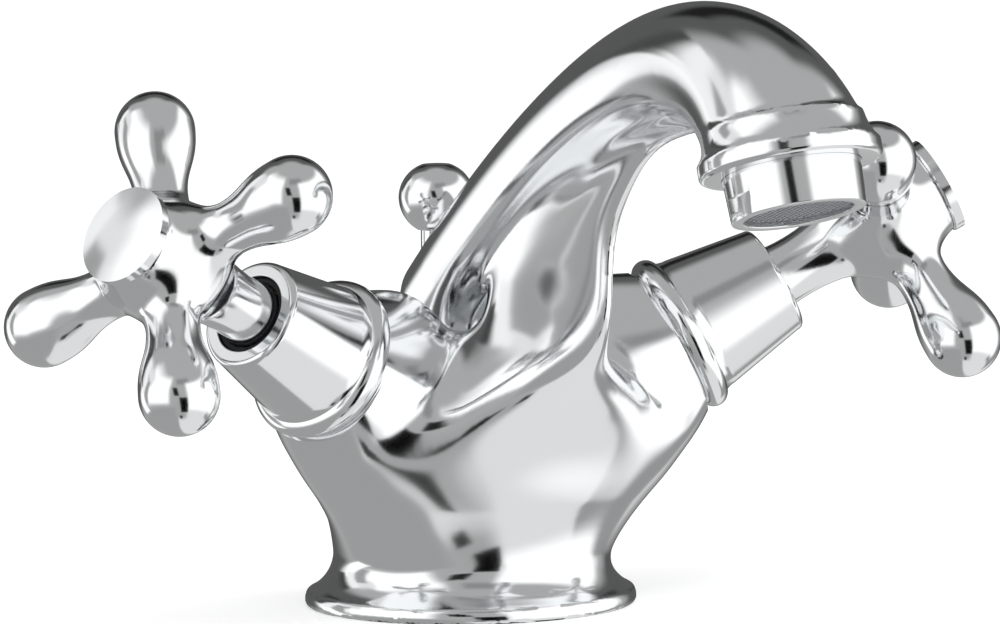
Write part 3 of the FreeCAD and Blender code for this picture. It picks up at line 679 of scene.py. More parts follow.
@dataclass(frozen=True)
class SpoutLine:
    """Centre line of the spout in the middle plane: two cubic spans through five poles of (y, z)."""

    poles: tuple[tuple[float, float], ...] = (
        (-1.5, 61.9), (-36.7, 90.4), (-94.0, 116.2), (-114.7, 93.8), OUTLET_PLACE[1:],
    )
    length_samples: int = 161
    search_samples: int = 41
    corrections: int = 4
    longest_move: float = 0.1
    least_bend_share: float = 0.3

    def spans(self) -> tuple[Array, Array]:
        """Polynomials of both spans.

        Returns:
            Two arrays of four coefficient rows, for places from 0 to 1 on each span.
        """
        a, b, c, d, e = (np.array(pole) for pole in self.poles)
        middle_one = (b + c) / 2
        middle_two = (c + d) / 2
        joint = (middle_one + middle_two) / 2
        made = []
        for p, q, r, s in ((a, b, middle_one, joint), (joint, middle_two, d, e)):
            made.append(np.array([p, 3 * (q - p), 3 * (p - 2 * q + r), s - 3 * r + 3 * q - p]))
        return made[0], made[1]

    def at(self, place: Array) -> tuple[Array, Array, Array]:
        """Points of the line with both derivatives.

        Args:
            place: Places from 0 to 2.

        Returns:
            Points, first derivatives and second derivatives.
        """
        one, two = self.spans()
        later = place > 1
        local = np.where(later, place - 1, place)[:, None]
        rows = np.where(later[:, None, None], two[None], one[None])
        point = rows[:, 0] + local * (rows[:, 1] + local * (rows[:, 2] + local * rows[:, 3]))
        first = rows[:, 1] + local * (2 * rows[:, 2] + 3 * local * rows[:, 3])
        second = 2 * rows[:, 2] + 6 * local * rows[:, 3]
        return point, first, second

    def share(self, place: Array) -> Array:
        """Share of the line's length up to each place.

        Args:
            place: Places from 0 to 2.

        Returns:
            Shares from 0 to 1.
        """
        steps = np.linspace(0, 2, self.length_samples)
        run = np.hypot(*np.diff(self.at(steps)[0], axis=0).T)
        length = np.concatenate([[0.0], np.cumsum(run)])
        return np.interp(place, steps, length / length[-1])

    def nearest(self, plane: Array) -> tuple[Array, Array]:
        """Nearest place of the line to points of the middle plane.

        Args:
            plane: Rows of y and z.

        Returns:
            Places from 0 to 2, and distances in the plane.
        """
        starts = np.linspace(0, 2, self.search_samples)
        samples = self.at(starts)[0]
        place = starts[((plane[:, None, :] - samples[None]) ** 2).sum(2).argmin(1)]
        for _ in range(self.corrections):
            point, first, second = self.at(place)
            gap = point - plane
            speed = (first * first).sum(1)
            bend = speed + (gap * second).sum(1)
            move = (gap * first).sum(1) / np.maximum(bend, self.least_bend_share * speed)
            place = np.clip(place - np.clip(move, -self.longest_move, self.longest_move), 0, 2)
        point = self.at(place)[0]
        return place, np.sqrt(((point - plane) ** 2).sum(1))


@dataclass
class Casting:
    """The one-piece body: flange, neck, belly, two horns, web and spout."""

    step: float = 0.78
    low: tuple[float, float, float] = (-46, -136, -5)
    high: tuple[float, float, float] = (46, 34, 116)
    flange: tuple[Corner, ...] = (
        (0.0, -3.0), (29.4, -3.0), (29.4, 0.0), (30.4, 1.0, 1.0, 1), (29.9, 2.8, 2.8, 1),
        (25.1, 9.8, 8.0, -1), (27.2, 21.0, 60.0, -1), (21.5, 40.0, 24.0, 1), (0.0, 46.0, 41.5, 1),
    )
    lip_outline: tuple[Corner, ...] = (
        (0.0, -8.0), (13.6, -8.0), (15.9, -3.0, 7.0, -1), (15.9, 3.0), (0.0, 3.0),
    )
    stud_place: tuple[float, float] = (0.0, -13.5)
    inlet_place: tuple[float, float] = (9.0, -1.5)
    horn_start: float = -20.0
    horn_end: float = 42.0
    horn_overrun: float = 1.5
    horn_powers: tuple[float, float] = (1.6, 2.3)
    horn_tops: SmoothTable = curve(
        (-24, 6), (-12, 9), (0, 10.5), (7, 11.8), (14, 14.2), (21, 17.2), (28.0, 19.2), (33.0, 18.3),
        (38, 16.2), (43.5, 13.4),
    )
    horn_depths: SmoothTable = curve(
        (-24, 12), (-12, 23), (2, 26.4), (14, 25.8), (22.6, 23.2), (28.7, 21.2), (34.0, 18.9), (39, 16.4),
        (43.5, 13.4),
    )
    horn_widths: SmoothTable = curve(
        (-24, 9), (-12, 15), (0, 17.6), (12, 17.8), (20, 17.4), (27, 16.6), (33.0, 15.8), (38, 14.8),
        (43.5, 13.4),
    )
    web_heights: tuple[float, float] = (8, 95)
    web_fronts: SmoothTable = curve(
        (8, 14), (14, 18.5), (20, 23.5), (26, 27.4), (32, 31.2), (38, 35.6), (44, 41.4), (50, 48),
        (60, 52.8), (71, 54.4), (76.5, 57.2), (82, 61.9), (87, 68.0), (90.1, 75.2), (92.6, 85.5), (95, 97.0),
    )
    web_backs: SmoothTable = curve(
        (8, 0), (28, -10), (38, -3), (44, 3), (50, 9.5), (54, 13), (58, 14.4), (62, 15.6), (66, 19.5),
        (71, 26), (76, 33), (82, 41), (90, 53), (95, 62),
    )
    web_widths: SmoothTable = curve(
        (8, 8), (14, 14), (20, 20), (26, 25.5), (32, 28), (37, 26), (42, 20), (47, 13), (52, 8), (57, 5.6),
        (63, 4.6), (74, 3.7), (82, 3.1), (95, 2.8),
    )
    web_powers: SmoothTable = curve(
        (8, 2.4), (16, 3), (24, 3.2), (34, 2.8), (42, 2.2), (52, 2.3), (62, 2.8), (95, 3)
    )
    web_tapers: SmoothTable = curve(
        (8, 0), (34, 0), (40, 0.08), (47, 0.28), (54, 0.45), (70, 0.5), (95, 0.4)
    )
    spout_radii: SmoothTable = curve(
        (0.0, 9.41), (0.14, 9.23), (0.28, 9.15), (0.42, 9.26), (0.55, 9.68), (0.66, 10.3), (0.76, 11.1),
        (0.86, 12.3), (0.93, 13.5), (0.98, 14.4), (1.0, 14.7),
    )
    foot_length: float = 9.6
    spout_overrun: float = 2.0
    web_blend: float = 12.0
    horn_blend: float = 6.0
    spout_blend: float = 5.0
    lip_blend: float = 1.5

    def __post_init__(self) -> None:
        """Prepare the tables and frames that the field reads."""
        self.vase = LatheField(Outline(self.flange, step_angle=2.0))
        self.lip = LatheField(Outline(self.lip_outline, step_angle=2.0), margin=16.0)
        self.line = SpoutLine()
        self.horns = [np.array(HornAxis(side).place().inverted()) for side in Side]
        self.outlet = np.array(OUTLET.inverted())

    def field(self, points: Array) -> Array:
        """Field of the whole casting.

        Args:
            points: Rows of x, y and z in millimetres.

        Returns:
            Values that are negative inside.
        """
        x, y, z = points.T
        made = soft_union(self.vase.at(np.hypot(x, y), z), self._web(x, y, z), self.web_blend)
        horns = [self._horn(points, turn) for turn in self.horns]
        made = soft_union(made, soft_union(*horns, self.horn_blend), self.horn_blend)
        made = soft_union(made, self._spout(x, y, z), self.spout_blend)
        local = points @ self.outlet[:3, :3].T + self.outlet[:3, 3]
        lip = self.lip.at(np.hypot(local[:, 0], local[:, 1]), local[:, 2])
        return soft_union(made, lip, self.lip_blend)

    def _web(self, x: Array, y: Array, z: Array) -> Array:
        """Field of the chest and the web under the spout.

        Args:
            x: Places across the tap.
            y: Places along it.
            z: Heights.

        Returns:
            Values that are negative inside.
        """
        front = self.web_fronts.at(z)
        back = self.web_backs.at(z)
        reach = (front - back) / 2
        ahead = -y - (front + back) / 2
        width = self.web_widths.at(z) * (1 - self.web_tapers.at(z) * np.clip(ahead / reach, -1, 1))
        wall = oval_field(x, ahead, width, reach, self.web_powers.at(z))
        low, high = self.web_heights
        return np.maximum(wall, np.maximum(z - high, low - z))

    def _horn(self, points: Array, turn: Array) -> Array:
        """Field of one horn, an oval cone along its axis.

        Args:
            points: Rows of x, y and z in the tap's frame.
            turn: Matrix from the tap's frame to the horn's.

        Returns:
            Values that are negative inside.
        """
        up, side, out = (points @ turn[:3, :3].T + turn[:3, 3]).T
        rise = np.where(up > 0, self.horn_tops.at(out), self.horn_depths.at(out))
        power = np.where(up > 0, *self.horn_powers)
        wall = oval_field(up, side, rise, self.horn_widths.at(out), power)
        return np.maximum(wall, np.maximum(out - self.horn_end - self.horn_overrun, self.horn_start - out))

    def _spout(self, x: Array, y: Array, z: Array) -> Array:
        """Field of the spout tube with its rounded foot.

        Args:
            x: Places across the tap.
            y: Places along it.
            z: Heights.

        Returns:
            Values that are negative inside.
        """
        plane = np.stack([y, z], 1)
        place, gap = self.line.nearest(plane)
        first, second = (np.array(pole) for pole in self.line.poles[:2])
        back = (first - second) / np.hypot(*(first - second))
        tail = plane - first
        behind = tail @ back
        foot = tail - np.clip(behind, 0, self.foot_length)[:, None] * back
        reach = np.where(behind > 0, np.hypot(foot[:, 0], foot[:, 1]), gap)
        tube = np.hypot(x, reach) - self.spout_radii.at(self.line.share(place))
        return np.maximum(tube, past_outlet(y, z) - self.spout_overrun)

    def build(self) -> Piece:
        """Make the casting and cut its ways.

        Returns:
            The finished piece.
        """
        shape = make_object("tap_body", *Net(self.field, self.low, self.high, self.step).build())
        return Piece(smooth(carve(shape, self._cutters())), "root", ("body_casting",), Slot.CHROME)

    def _cutters(self) -> list[bpy.types.Object]:
        """Make the solids to cut.

        Returns:
            Cutters of the deck face, the holes, the inlets, the valve pockets with their end faces and the
            aerator's socket.
        """
        rod_hole = ((0, -1), (5.2, -1), (5.2, 8), (3.4, 8), (3.4, 78), (0, 78))
        cutters = [
            turned_cutter("deck", ((0, -9), (40, -9), (40, 0), (0, 0))),
            turned_cutter("seal_groove", ((22.5, -1), (26.5, -1), (26.5, 2), (22.5, 2))),
            turned_cutter("rod_hole", rod_hole, ROD_PLACE),
            turned_cutter("stud_hole", ((0, -1), (4.05, -1), (4.05, 12), (0, 12)), self.stud_place),
        ]
        inlet = ((0, -1), (5.0, -1), (5.0, 12), (0, 12))
        across, along = self.inlet_place
        end = self.horn_end
        pocket = (
            (0, 17), (10.5, 17), (10.5, end), (13.5, end), (14.1, end - 0.6, 0.6, -1), (22, end - 0.6),
            (22, 60), (0, 60),
        )
        for side in Side:
            cutters.append(turned_cutter("inlet", inlet, (across * side.value, along)))
            cutters.append(turned_cutter("pocket", pocket, place=HornAxis(side).place()))
        socket = (
            (0, -7.6), (12.1, -7.6), (12.1, 0), (14.9, 0), (15.9, -1.0, 1.0, -1), (22, -1.0), (22, 9), (0, 9),
        )
        cutters.append(turned_cutter("socket", socket, place=OUTLET))
        return cutters


# Handles, covers and the smaller polished pieces


@dataclass
class CrossHandle:
    """Handle with a trumpet neck and four arms that swell into balls."""

    side: Side
    step: float = 0.5
    heights: tuple[float, float] = (60.5, 100)
    room: float = 8.5
    arm_count: int = 4
    arm_plane: float = 87.9
    arm_reach: float = 28.2
    arm_turn: float = 30.0
    arm_blend: float = 7.0
    hub_blend: float = 4.0
    hub: tuple[Corner, ...] = (
        (0.0, 61.6), (6.0, 61.6), (6.0, 65.0), (8.8, 83.5, 34.0, -1), (8.8, 92.3), (8.4, 98.1), (0.0, 98.1),
    )
    bore: tuple[Corner, ...] = (
        (0, 60), (4.05, 60), (4.05, 80), (2.1, 80), (2.1, 88), (5.4, 88), (5.4, 102), (0, 102),
    )
    arm_radii: SmoothTable = curve(
        (0.0, 6.5), (2.8, 6.4), (10.1, 5.22), (15.0, 4.85), (18.6, 5.37), (22.6, 6.54), (25.6, 7.08),
        (28.2, 7.2),
    )

    def __post_init__(self) -> None:
        """Prepare the hub's table."""
        self.core = LatheField(Outline(self.hub, edge_radius=0.5, step_angle=2.0))

    def field(self, points: Array) -> Array:
        """Field of the whole handle.

        Args:
            points: Rows of x, y and z in the handle's own frame, Z along the axis.

        Returns:
            Values that are negative inside.
        """
        x, y, z = points.T
        height = z - self.arm_plane
        arms = None
        for number in range(self.arm_count):
            angle = math.radians(360 / self.arm_count * number - self.side.value * self.arm_turn)
            along = x * math.cos(angle) + y * math.sin(angle)
            across = -x * math.sin(angle) + y * math.cos(angle)
            held = np.clip(along, 0, self.arm_reach)
            arm = np.sqrt((along - held) ** 2 + across**2 + height**2) - self.arm_radii.at(held)
            arms = arm if arms is None else soft_union(arms, arm, self.arm_blend)
        made = soft_union(self.core.at(np.hypot(x, y), z), arms, self.hub_blend)
        return np.maximum(made, z - self.hub[-1][1])

    def build(self) -> Piece:
        """Make the handle in place.

        Returns:
            The finished piece.
        """
        reach = self.arm_reach + self.room
        low, high = self.heights
        net = Net(self.field, (-reach, -reach, low), (reach, reach, high), self.step)
        place = HornAxis(self.side).place()
        word = self.side.word
        shape = make_object(word + "_cross", *net.build(), place)
        shape = smooth(carve(shape, [turned_cutter("spindle_bore", self.bore, place=place)]))
        return Piece(shape, word + "_handle", (word + "_cross_handle",), Slot.CHROME)


@dataclass(frozen=True)
class Turned:
    """Turned piece with softened edges."""

    name: str
    node: str
    body: str
    slot: Slot
    corners: tuple[Corner, ...]
    place: Matrix
    edge_radius: float = 0.25
    around: int = 192

    def build(self) -> Piece:
        """Make the piece in place.

        Returns:
            The finished piece.
        """
        data = lathe_data(Outline(self.corners, self.edge_radius, step_angle=3.0), self.around)
        shape = smooth(make_object(self.name, *data, self.place), angle=40.0)
        return Piece(shape, self.body, (self.node,), self.slot)


@dataclass(frozen=True)
class Trim:
    """Bell covers, index caps, dark rings in the bells' mouths, lift knob and lift rod."""

    bell: tuple[Corner, ...] = (
        (11.5, 42.0), (13.4, 42.0), (13.4, 46.6, 2.4, 1), (12.9, 48.6, 4.6, -1), (10.3, 63.8),
        (9.1, 65.0, 1.2, 1), (7.3, 65.0), (7.3, 60.6), (9.1, 60.6), (9.1, 54.5), (11.5, 54.5),
    )
    cap: tuple[Corner, ...] = (
        (0.0, 94.1), (5.3, 94.1), (5.3, 98.1), (9.0, 98.1), (9.0, 100.1), (0.0, 101.0, 45.45, 1),
    )
    cap_edge: float = 0.45
    seal_middle: float = 63.85
    seal_ring_radius: float = 6.725
    seal_radius: float = 0.575
    knob: tuple[Corner, ...] = (
        (3.0, 67.9), (3.6, 67.9), (7.0, 73.9, 7.0, 1), (2.6, 79.9, 6.6, 1), (0.0, 79.9), (0.0, 72.9),
        (3.0, 72.9),
    )
    rod: tuple[Corner, ...] = ((0.0, -48.0), (3.0, -48.0), (3.0, 72.9), (0.0, 72.9))
    rod_edge: float = 0.6
    rod_columns: int = 96

    def build(self) -> list[Piece]:
        """Make every turned piece.

        Returns:
            The finished pieces.
        """
        lift = Matrix.Translation((*ROD_PLACE, 0.0))
        chrome = Slot.CHROME
        fine = (self.rod_edge, self.rod_columns)
        rows = [
            Turned("lift_knob", "popup_knob", "popup", chrome, self.knob, lift),
            Turned("lift_rod", "popup_rod", "popup", chrome, self.rod, lift, *fine),
        ]
        for side in Side:
            place = HornAxis(side).place()
            word = side.word + "_"
            handle = word + "handle"
            rows += [
                Turned(word + "bell", word + "bell_cover", "root", chrome, self.bell, place),
                Turned(word + "cap", word + "index_cap", handle, chrome, self.cap, place, self.cap_edge),
                # A black ring with the black rubber finish sits in the mouth of each bell cover.
                Turned(word + "lip_seal", word + "mouth_seal", "root", Slot.RUBBER, self._ring(), place),
            ]
        return [row.build() for row in rows]

    def _ring(self) -> tuple[Corner, ...]:
        """Round section of the dark ring in a bell's mouth.

        Returns:
            Four corners joined by arcs.
        """
        middle, ring, radius = self.seal_middle, self.seal_ring_radius, self.seal_radius
        steps = ((1, 0), (0, 1), (-1, 0), (0, -1))
        return tuple((ring + out * radius, middle + up * radius, radius, 1) for out, up in steps)


@dataclass(frozen=True)
class Aerator:
    """Housing with its two flats, and the grille of thin ribs in its mouth."""

    housing: tuple[Corner, ...] = (
        (10.4, -6.0), (11.95, -6.0), (11.95, 0.0), (12.0, 0.0), (11.66, 7.9), (9.5, 7.9), (9.5, 6.8),
        (10.4, 6.8),
    )
    housing_edge: float = 0.22
    housing_columns: int = 224
    flat_across: float = 22.4
    flat_start: float = 3.9
    length: float = 7.9
    cutter_half: float = 14.0
    cutter_depth: float = 4.0
    overrun: float = 2.0
    grille_radius: float = 10.3
    grille_rim: float = 0.9
    grille_start: float = 5.6
    grille_depth: float = 1.2
    grille_columns: int = 128
    rim_overlap: float = 0.6
    rib_count: int = 17
    rib_width: float = 0.32
    crossed_depth: float = 0.8

    def build(self) -> list[Piece]:
        """Make the housing and the grille.

        Returns:
            The finished pieces.
        """
        data = lathe_data(Outline(self.housing, self.housing_edge, step_angle=6.0), self.housing_columns)
        shape = make_object("aerator_ring", *data, OUTLET)
        shape = smooth(carve(shape, [self._flat_cutter(sign) for sign in (-1, 1)]), angle=34.0)
        return [
            Piece(shape, "root", ("aerator_housing",), Slot.CHROME),
            Piece(self._grille(), "root", ("aerator_grille",), Slot.PLASTIC),
        ]

    def _flat_cutter(self, sign: int) -> bpy.types.Object:
        """Box that mills one spanner flat.

        Args:
            sign: Which side of the housing it stands on.

        Returns:
            The cutter's object.
        """
        inner = self.flat_across / 2
        outer = inner + self.cutter_depth
        wide, low, high = self.cutter_half, self.flat_start, self.length + self.overrun
        corners = [(x, sign * y, z) for x in (-wide, wide) for y in (inner, outer) for z in (low, high)]
        faces = [(0, 1, 3, 2), (4, 6, 7, 5), (0, 4, 5, 1), (2, 3, 7, 6), (0, 2, 6, 4), (1, 5, 7, 3)]
        if sign < 0:
            faces = [face[::-1] for face in faces]
        return make_object("cut_flat", corners, faces, OUTLET)

    def _grille(self) -> bpy.types.Object:
        """Grille made by a Geometry Nodes tree: crossing ribs inside a rim.

        Returns:
            Object whose plain mesh is in place.
        """
        tree = bpy.data.node_groups.new("grille_ribs", "GeometryNodeTree")
        tree.interface.new_socket("Geometry", in_out="OUTPUT", socket_type="NodeSocketGeometry")
        values = {
            "Radius": (self.grille_radius - self.grille_rim) * MM,
            "Rim": self.grille_rim * MM,
            "Depth": self.grille_depth * MM,
            "Rib Width": self.rib_width * MM,
            "Rib Count": self.rib_count,
        }
        identifiers = {}
        for name, value in values.items():
            kind = "NodeSocketInt" if isinstance(value, int) else "NodeSocketFloat"
            identifiers[name] = tree.interface.new_socket(name, in_out="INPUT", socket_type=kind).identifier
        self._grow(Canvas(tree))
        holder = make_object("grille", [(0, 0, 0)], [])
        modifier = holder.modifiers.new("ribs", "NODES")
        modifier.node_group = tree
        for name, value in values.items():
            modifier[identifiers[name]] = value
        holder.data = applied(holder, modifier)
        place = OUTLET @ Matrix.Translation((0, 0, self.grille_start + self.grille_depth / 2))
        place.translation *= MM
        holder.data.transform(place)
        return holder

    def _grow(self, canvas: "Canvas") -> None:
        """Grow a row of ribs, each as long as the circle is wide there, a crossed copy and the rim.

        Args:
            canvas: Canvas of the grille's tree.
        """
        given = canvas.add("NodeGroupInput").outputs
        radius, rim, depth = given["Radius"], given["Rim"], given["Depth"]
        step = canvas.math("DIVIDE", canvas.math("MULTIPLY", radius, 2.0), given["Rib Count"])
        first = canvas.math("SUBTRACT", canvas.math("MULTIPLY", step, 0.5), radius)
        starts = canvas.combine(0.0, first, 0.0)
        offset = canvas.combine(0.0, step, 0.0)
        line = {"Count": given["Rib Count"], "Start Location": starts, "Offset": offset}
        points = canvas.add("GeometryNodeMeshLine", {"mode": "OFFSET"}, line).outputs["Mesh"]
        position = canvas.add("GeometryNodeInputPosition").outputs[0]
        y = canvas.add("ShaderNodeSeparateXYZ", inputs={0: position}).outputs["Y"]
        squares = [canvas.math("MULTIPLY", size, size) for size in (radius, y)]
        reach = canvas.math("SQRT", canvas.math("SUBTRACT", *squares))
        chord = canvas.math("MULTIPLY", reach, 2.0)
        length = canvas.math("ADD", chord, canvas.math("MULTIPLY", rim, self.rim_overlap))
        size = canvas.combine(1.0, given["Rib Width"], depth)
        bar = canvas.add("GeometryNodeMeshCube", inputs={"Size": size}).outputs["Mesh"]
        copies = {"Points": points, "Instance": bar, "Scale": canvas.combine(length, 1.0, 1.0)}
        ribs = canvas.add("GeometryNodeInstanceOnPoints", inputs=copies).outputs[0]
        turn = {"Geometry": ribs, "Rotation": (0, 0, math.pi / 2), "Scale": (1, 1, self.crossed_depth)}
        crossed = canvas.add("GeometryNodeTransform", inputs=turn).outputs[0]
        ring_radius = canvas.math("ADD", radius, canvas.math("MULTIPLY", rim, 0.5))
        round_size = {"Resolution": self.grille_columns, "Radius": ring_radius}
        circle = canvas.add("GeometryNodeCurvePrimitiveCircle", inputs=round_size).outputs["Curve"]
        flat_size = {"Width": rim, "Height": depth}
        section = canvas.add("GeometryNodeCurvePrimitiveQuadrilateral", inputs=flat_size).outputs["Curve"]
        sweep = {"Curve": circle, "Profile Curve": section}
        ring = canvas.add("GeometryNodeCurveToMesh", inputs=sweep).outputs[0]
        gather = canvas.add("GeometryNodeJoinGeometry")
        for socket in (ribs, crossed, ring):
            canvas.join(socket, gather.inputs[0])
        real = canvas.add("GeometryNodeRealizeInstances", inputs={0: gather.outputs[0]}).outputs[0]
        paint = {"Geometry": real, "Material": bpy.data.materials.get(Slot.PLASTIC.value)}
        canvas.close(canvas.add("GeometryNodeSetMaterial", inputs=paint).outputs[0])


# Node trees


class Canvas:
    """Short way to place and join nodes in a tree, laid out in rows."""

    columns = 9
    column_width = 220
    row_height = 180

    def __init__(self, tree: bpy.types.NodeTree) -> None:
        """Keep the tree."""
        self.tree = tree

    def add(self, kind: str, settings: dict | None = None, inputs: dict | None = None) -> bpy.types.Node:
        """Place a node.

        Args:
            kind: The node's type.
            settings: Attributes to set on it.
            inputs: Sockets or plain values for its inputs, by name or number.

        Returns:
            The node.
        """
        node = self.tree.nodes.new(kind)
        for name, value in (settings or {}).items():
            setattr(node, name, value)
        for name, value in (inputs or {}).items():
            self.join(value, node.inputs[name])
        row, column = divmod(len(self.tree.nodes), self.columns)
        node.location = (self.column_width * column, -self.row_height * row)
        return node

    def join(self, source: object, target: bpy.types.NodeSocket) -> None:
        """Link a socket to another, or set a plain value on it.

        Args:
            source: The socket or the value.
            target: The socket that takes it.
        """
        if isinstance(source, bpy.types.NodeSocket):
            self.tree.links.new(source, target)
        else:
            target.default_value = source

    def close(self, result: bpy.types.NodeSocket) -> bpy.types.NodeTree:
        """Lead a socket to the group's output and give the group's tree."""
        self.add("NodeGroupOutput", inputs={0: result})
        return self.tree

    def math(self, operation: str, first: object, second: object = 0.0) -> bpy.types.NodeSocket:
        """Result of a math node on two values or sockets."""
        return self.add("ShaderNodeMath", {"operation": operation}, {0: first, 1: second}).outputs[0]

    def combine(self, x: object, y: object, z: object) -> bpy.types.NodeSocket:
        """Vector from three values or sockets."""
        return self.add("ShaderNodeCombineXYZ", inputs={0: x, 1: y, 2: z}).outputs[0]

    def spread(
        self,
        value: object,
        low: float,
        high: float,
        start: float = 0.0,
        end: float = 1.0,
        soft: bool = True,
    ) -> bpy.types.NodeSocket:
        """Map a value from one range to another, held inside it.

        Args:
            value: Value or socket to map.
            low: Start of its range.
            high: End of its range.
            start: Result at the range's start.
            end: Result at the range's end.
            soft: Whether the change eases in and out.

        Returns:
            The result's socket.
        """
        settings = {"interpolation_type": "SMOOTHSTEP" if soft else "LINEAR", "clamp": True}
        inputs = {"Value": value, "From Min": low, "From Max": high, "To Min": start, "To Max": end}
        return self.add("ShaderNodeMapRange", settings, inputs).outputs["Result"]

    def mix(self, share: object, first: object, second: object) -> bpy.types.NodeSocket:
        """Colour between two colours."""
        return self.add("ShaderNodeMix", {"data_type": "RGBA"}, {0: share, 6: first, 7: second}).outputs[2]

    def noise(
        self, vector: object, scale: object, detail: float = 2.0, rough: float = 0.5
    ) -> bpy.types.NodeSocket:
        """Value of a noise texture, from 0 to 1."""
        inputs = {"Vector": vector, "Scale": scale, "Detail": detail, "Roughness": rough}
        return self.add("ShaderNodeTexNoise", inputs=inputs).outputs["Fac"]


def fresh_canvas(owner: bpy.types.Material | bpy.types.World) -> Canvas:
    """Canvas of an emptied node tree.

    Args:
        owner: Material or world of the tree.

    Returns:
        The canvas.
    """
    owner.use_nodes = True
    owner.node_tree.nodes.clear()
    return Canvas(owner.node_tree)


def new_group(name: str, inputs: dict[str, object], output: str, kind: str = "Float") -> Canvas:
    """Shader node group with named sockets.

    Args:
        name: Name of the group.
        inputs: Usual value of each input: a number, a colour, or None for a vector.
        output: Name of the output.
        kind: Socket type of the output.

    Returns:
        Canvas of the group's tree.
    """
    tree = bpy.data.node_groups.new(name, "ShaderNodeTree")
    for title, value in inputs.items():
        sort = "Vector" if value is None else "Color" if isinstance(value, tuple) else "Float"
        socket = tree.interface.new_socket(title, in_out="INPUT", socket_type="NodeSocket" + sort)
        if value is not None:
            socket.default_value = value
    tree.interface.new_socket(output, in_out="OUTPUT", socket_type="NodeSocket" + kind)
    return Canvas(tree)


class Effects:
    """Shared surface effects, built once as shader node groups."""

    smear_range = (0.42, 0.68)
    cells_per_smear = 6.0
    drop_radius = 0.22
    drop_edge = 0.07
    tone_range = (0.3, 0.7)

    def __init__(self) -> None:
        """Build the groups."""
        self.marks = self._marks()
        self.relief = self._relief()
        self.tones = self._tones()

    def _marks(self) -> bpy.types.NodeTree:
        """Faint smears and dried drops.

        Returns:
            Group that gives them as one mask.
        """
        canvas = new_group("surface_marks", {"Place": None, "Smears": 60.0, "Drops": 0.5}, "Mask")
        given = canvas.add("NodeGroupInput").outputs
        clouds = canvas.noise(given["Place"], given["Smears"], detail=4.0, rough=0.6)
        broad = canvas.spread(clouds, *self.smear_range)
        fine = canvas.math("MULTIPLY", given["Smears"], self.cells_per_smear)
        cells = {"Vector": given["Place"], "Scale": fine}
        distance = canvas.add("ShaderNodeTexVoronoi", {"feature": "F1"}, cells).outputs["Distance"]
        ring = canvas.math("ABSOLUTE", canvas.math("SUBTRACT", distance, self.drop_radius))
        edge = canvas.spread(ring, 0.0, self.drop_edge, 1.0, 0.0)
        drops = canvas.math("MULTIPLY", edge, given["Drops"])
        return canvas.close(canvas.math("MAXIMUM", broad, drops))

    def _relief(self) -> bpy.types.NodeTree:
        """Shallow waves and fine grain.

        Returns:
            Group that gives them as one height.
        """
        inputs = {"Place": None, "Waves": 40.0, "Grain": 900.0, "Grain Share": 0.2}
        canvas = new_group("surface_relief", inputs, "Height")
        given = canvas.add("NodeGroupInput").outputs
        waves = canvas.noise(given["Place"], given["Waves"], detail=1.0)
        grain = canvas.noise(given["Place"], given["Grain"])
        shallow = canvas.math("MULTIPLY", grain, given["Grain Share"])
        return canvas.close(canvas.math("ADD", waves, shallow))

    def _tones(self) -> bpy.types.NodeTree:
        """Slow change between two tones.

        Returns:
            Group that gives the tone.
        """
        inputs = {"Place": None, "Size": 50.0, "First": (1, 1, 1, 1), "Second": (0.8, 0.8, 0.8, 1)}
        canvas = new_group("tone_change", inputs, "Tone", "Color")
        given = canvas.add("NodeGroupInput").outputs
        share = canvas.spread(canvas.noise(given["Place"], given["Size"], detail=3.0), *self.tone_range)
        return canvas.close(canvas.mix(share, given["First"], given["Second"]))


@dataclass(frozen=True)
class Finish:
    """Finish of one material slot. Scales are per metre and depths in metres."""

    slot: Slot
    first: tuple[float, float, float]
    second: tuple[float, float, float]
    metallic: float
    smooth_roughness: float
    marked_roughness: float
    tone_scale: float = 50.0
    smear_scale: float = 60.0
    drops: float = 0.0
    wave_scale: float = 40.0
    grain_scale: float = 900.0
    grain_share: float = 0.2
    relief_depth: float = 0.00001
    coat: float = 0.0

    def material(self, effects: Effects) -> bpy.types.Material:
        """Build the material.

        Args:
            effects: The shared node groups.

        Returns:
            The material, named after its slot.
        """
        made = bpy.data.materials.new(self.slot.value)
        canvas = fresh_canvas(made)
        place = canvas.add("ShaderNodeTexCoord").outputs["Object"]
        smears = {"Smears": self.smear_scale, "Drops": self.drops}
        waves = {"Waves": self.wave_scale, "Grain": self.grain_scale, "Grain Share": self.grain_share}
        tones = {"Size": self.tone_scale, "First": (*self.first, 1.0), "Second": (*self.second, 1.0)}
        results = []
        for tree, values in ((effects.marks, smears), (effects.relief, waves), (effects.tones, tones)):
            group = canvas.add("ShaderNodeGroup", {"node_tree": tree}, {"Place": place, **values})
            results.append(group.outputs[0])
        marks, relief, tone = results
        bump = {"Strength": 1.0, "Distance": self.relief_depth, "Height": relief}
        rough = (self.smooth_roughness, self.marked_roughness)
        surface = {
            "Base Color": tone,
            "Metallic": self.metallic,
            "Coat Weight": self.coat,
            "Roughness": canvas.spread(marks, 0.0, 1.0, *rough, soft=False),
            "Normal": canvas.add("ShaderNodeBump", inputs=bump).outputs["Normal"],
        }
        shader = canvas.add("ShaderNodeBsdfPrincipled", inputs=surface)
        canvas.add("ShaderNodeOutputMaterial", inputs={"Surface": shader.outputs[0]})
        return made


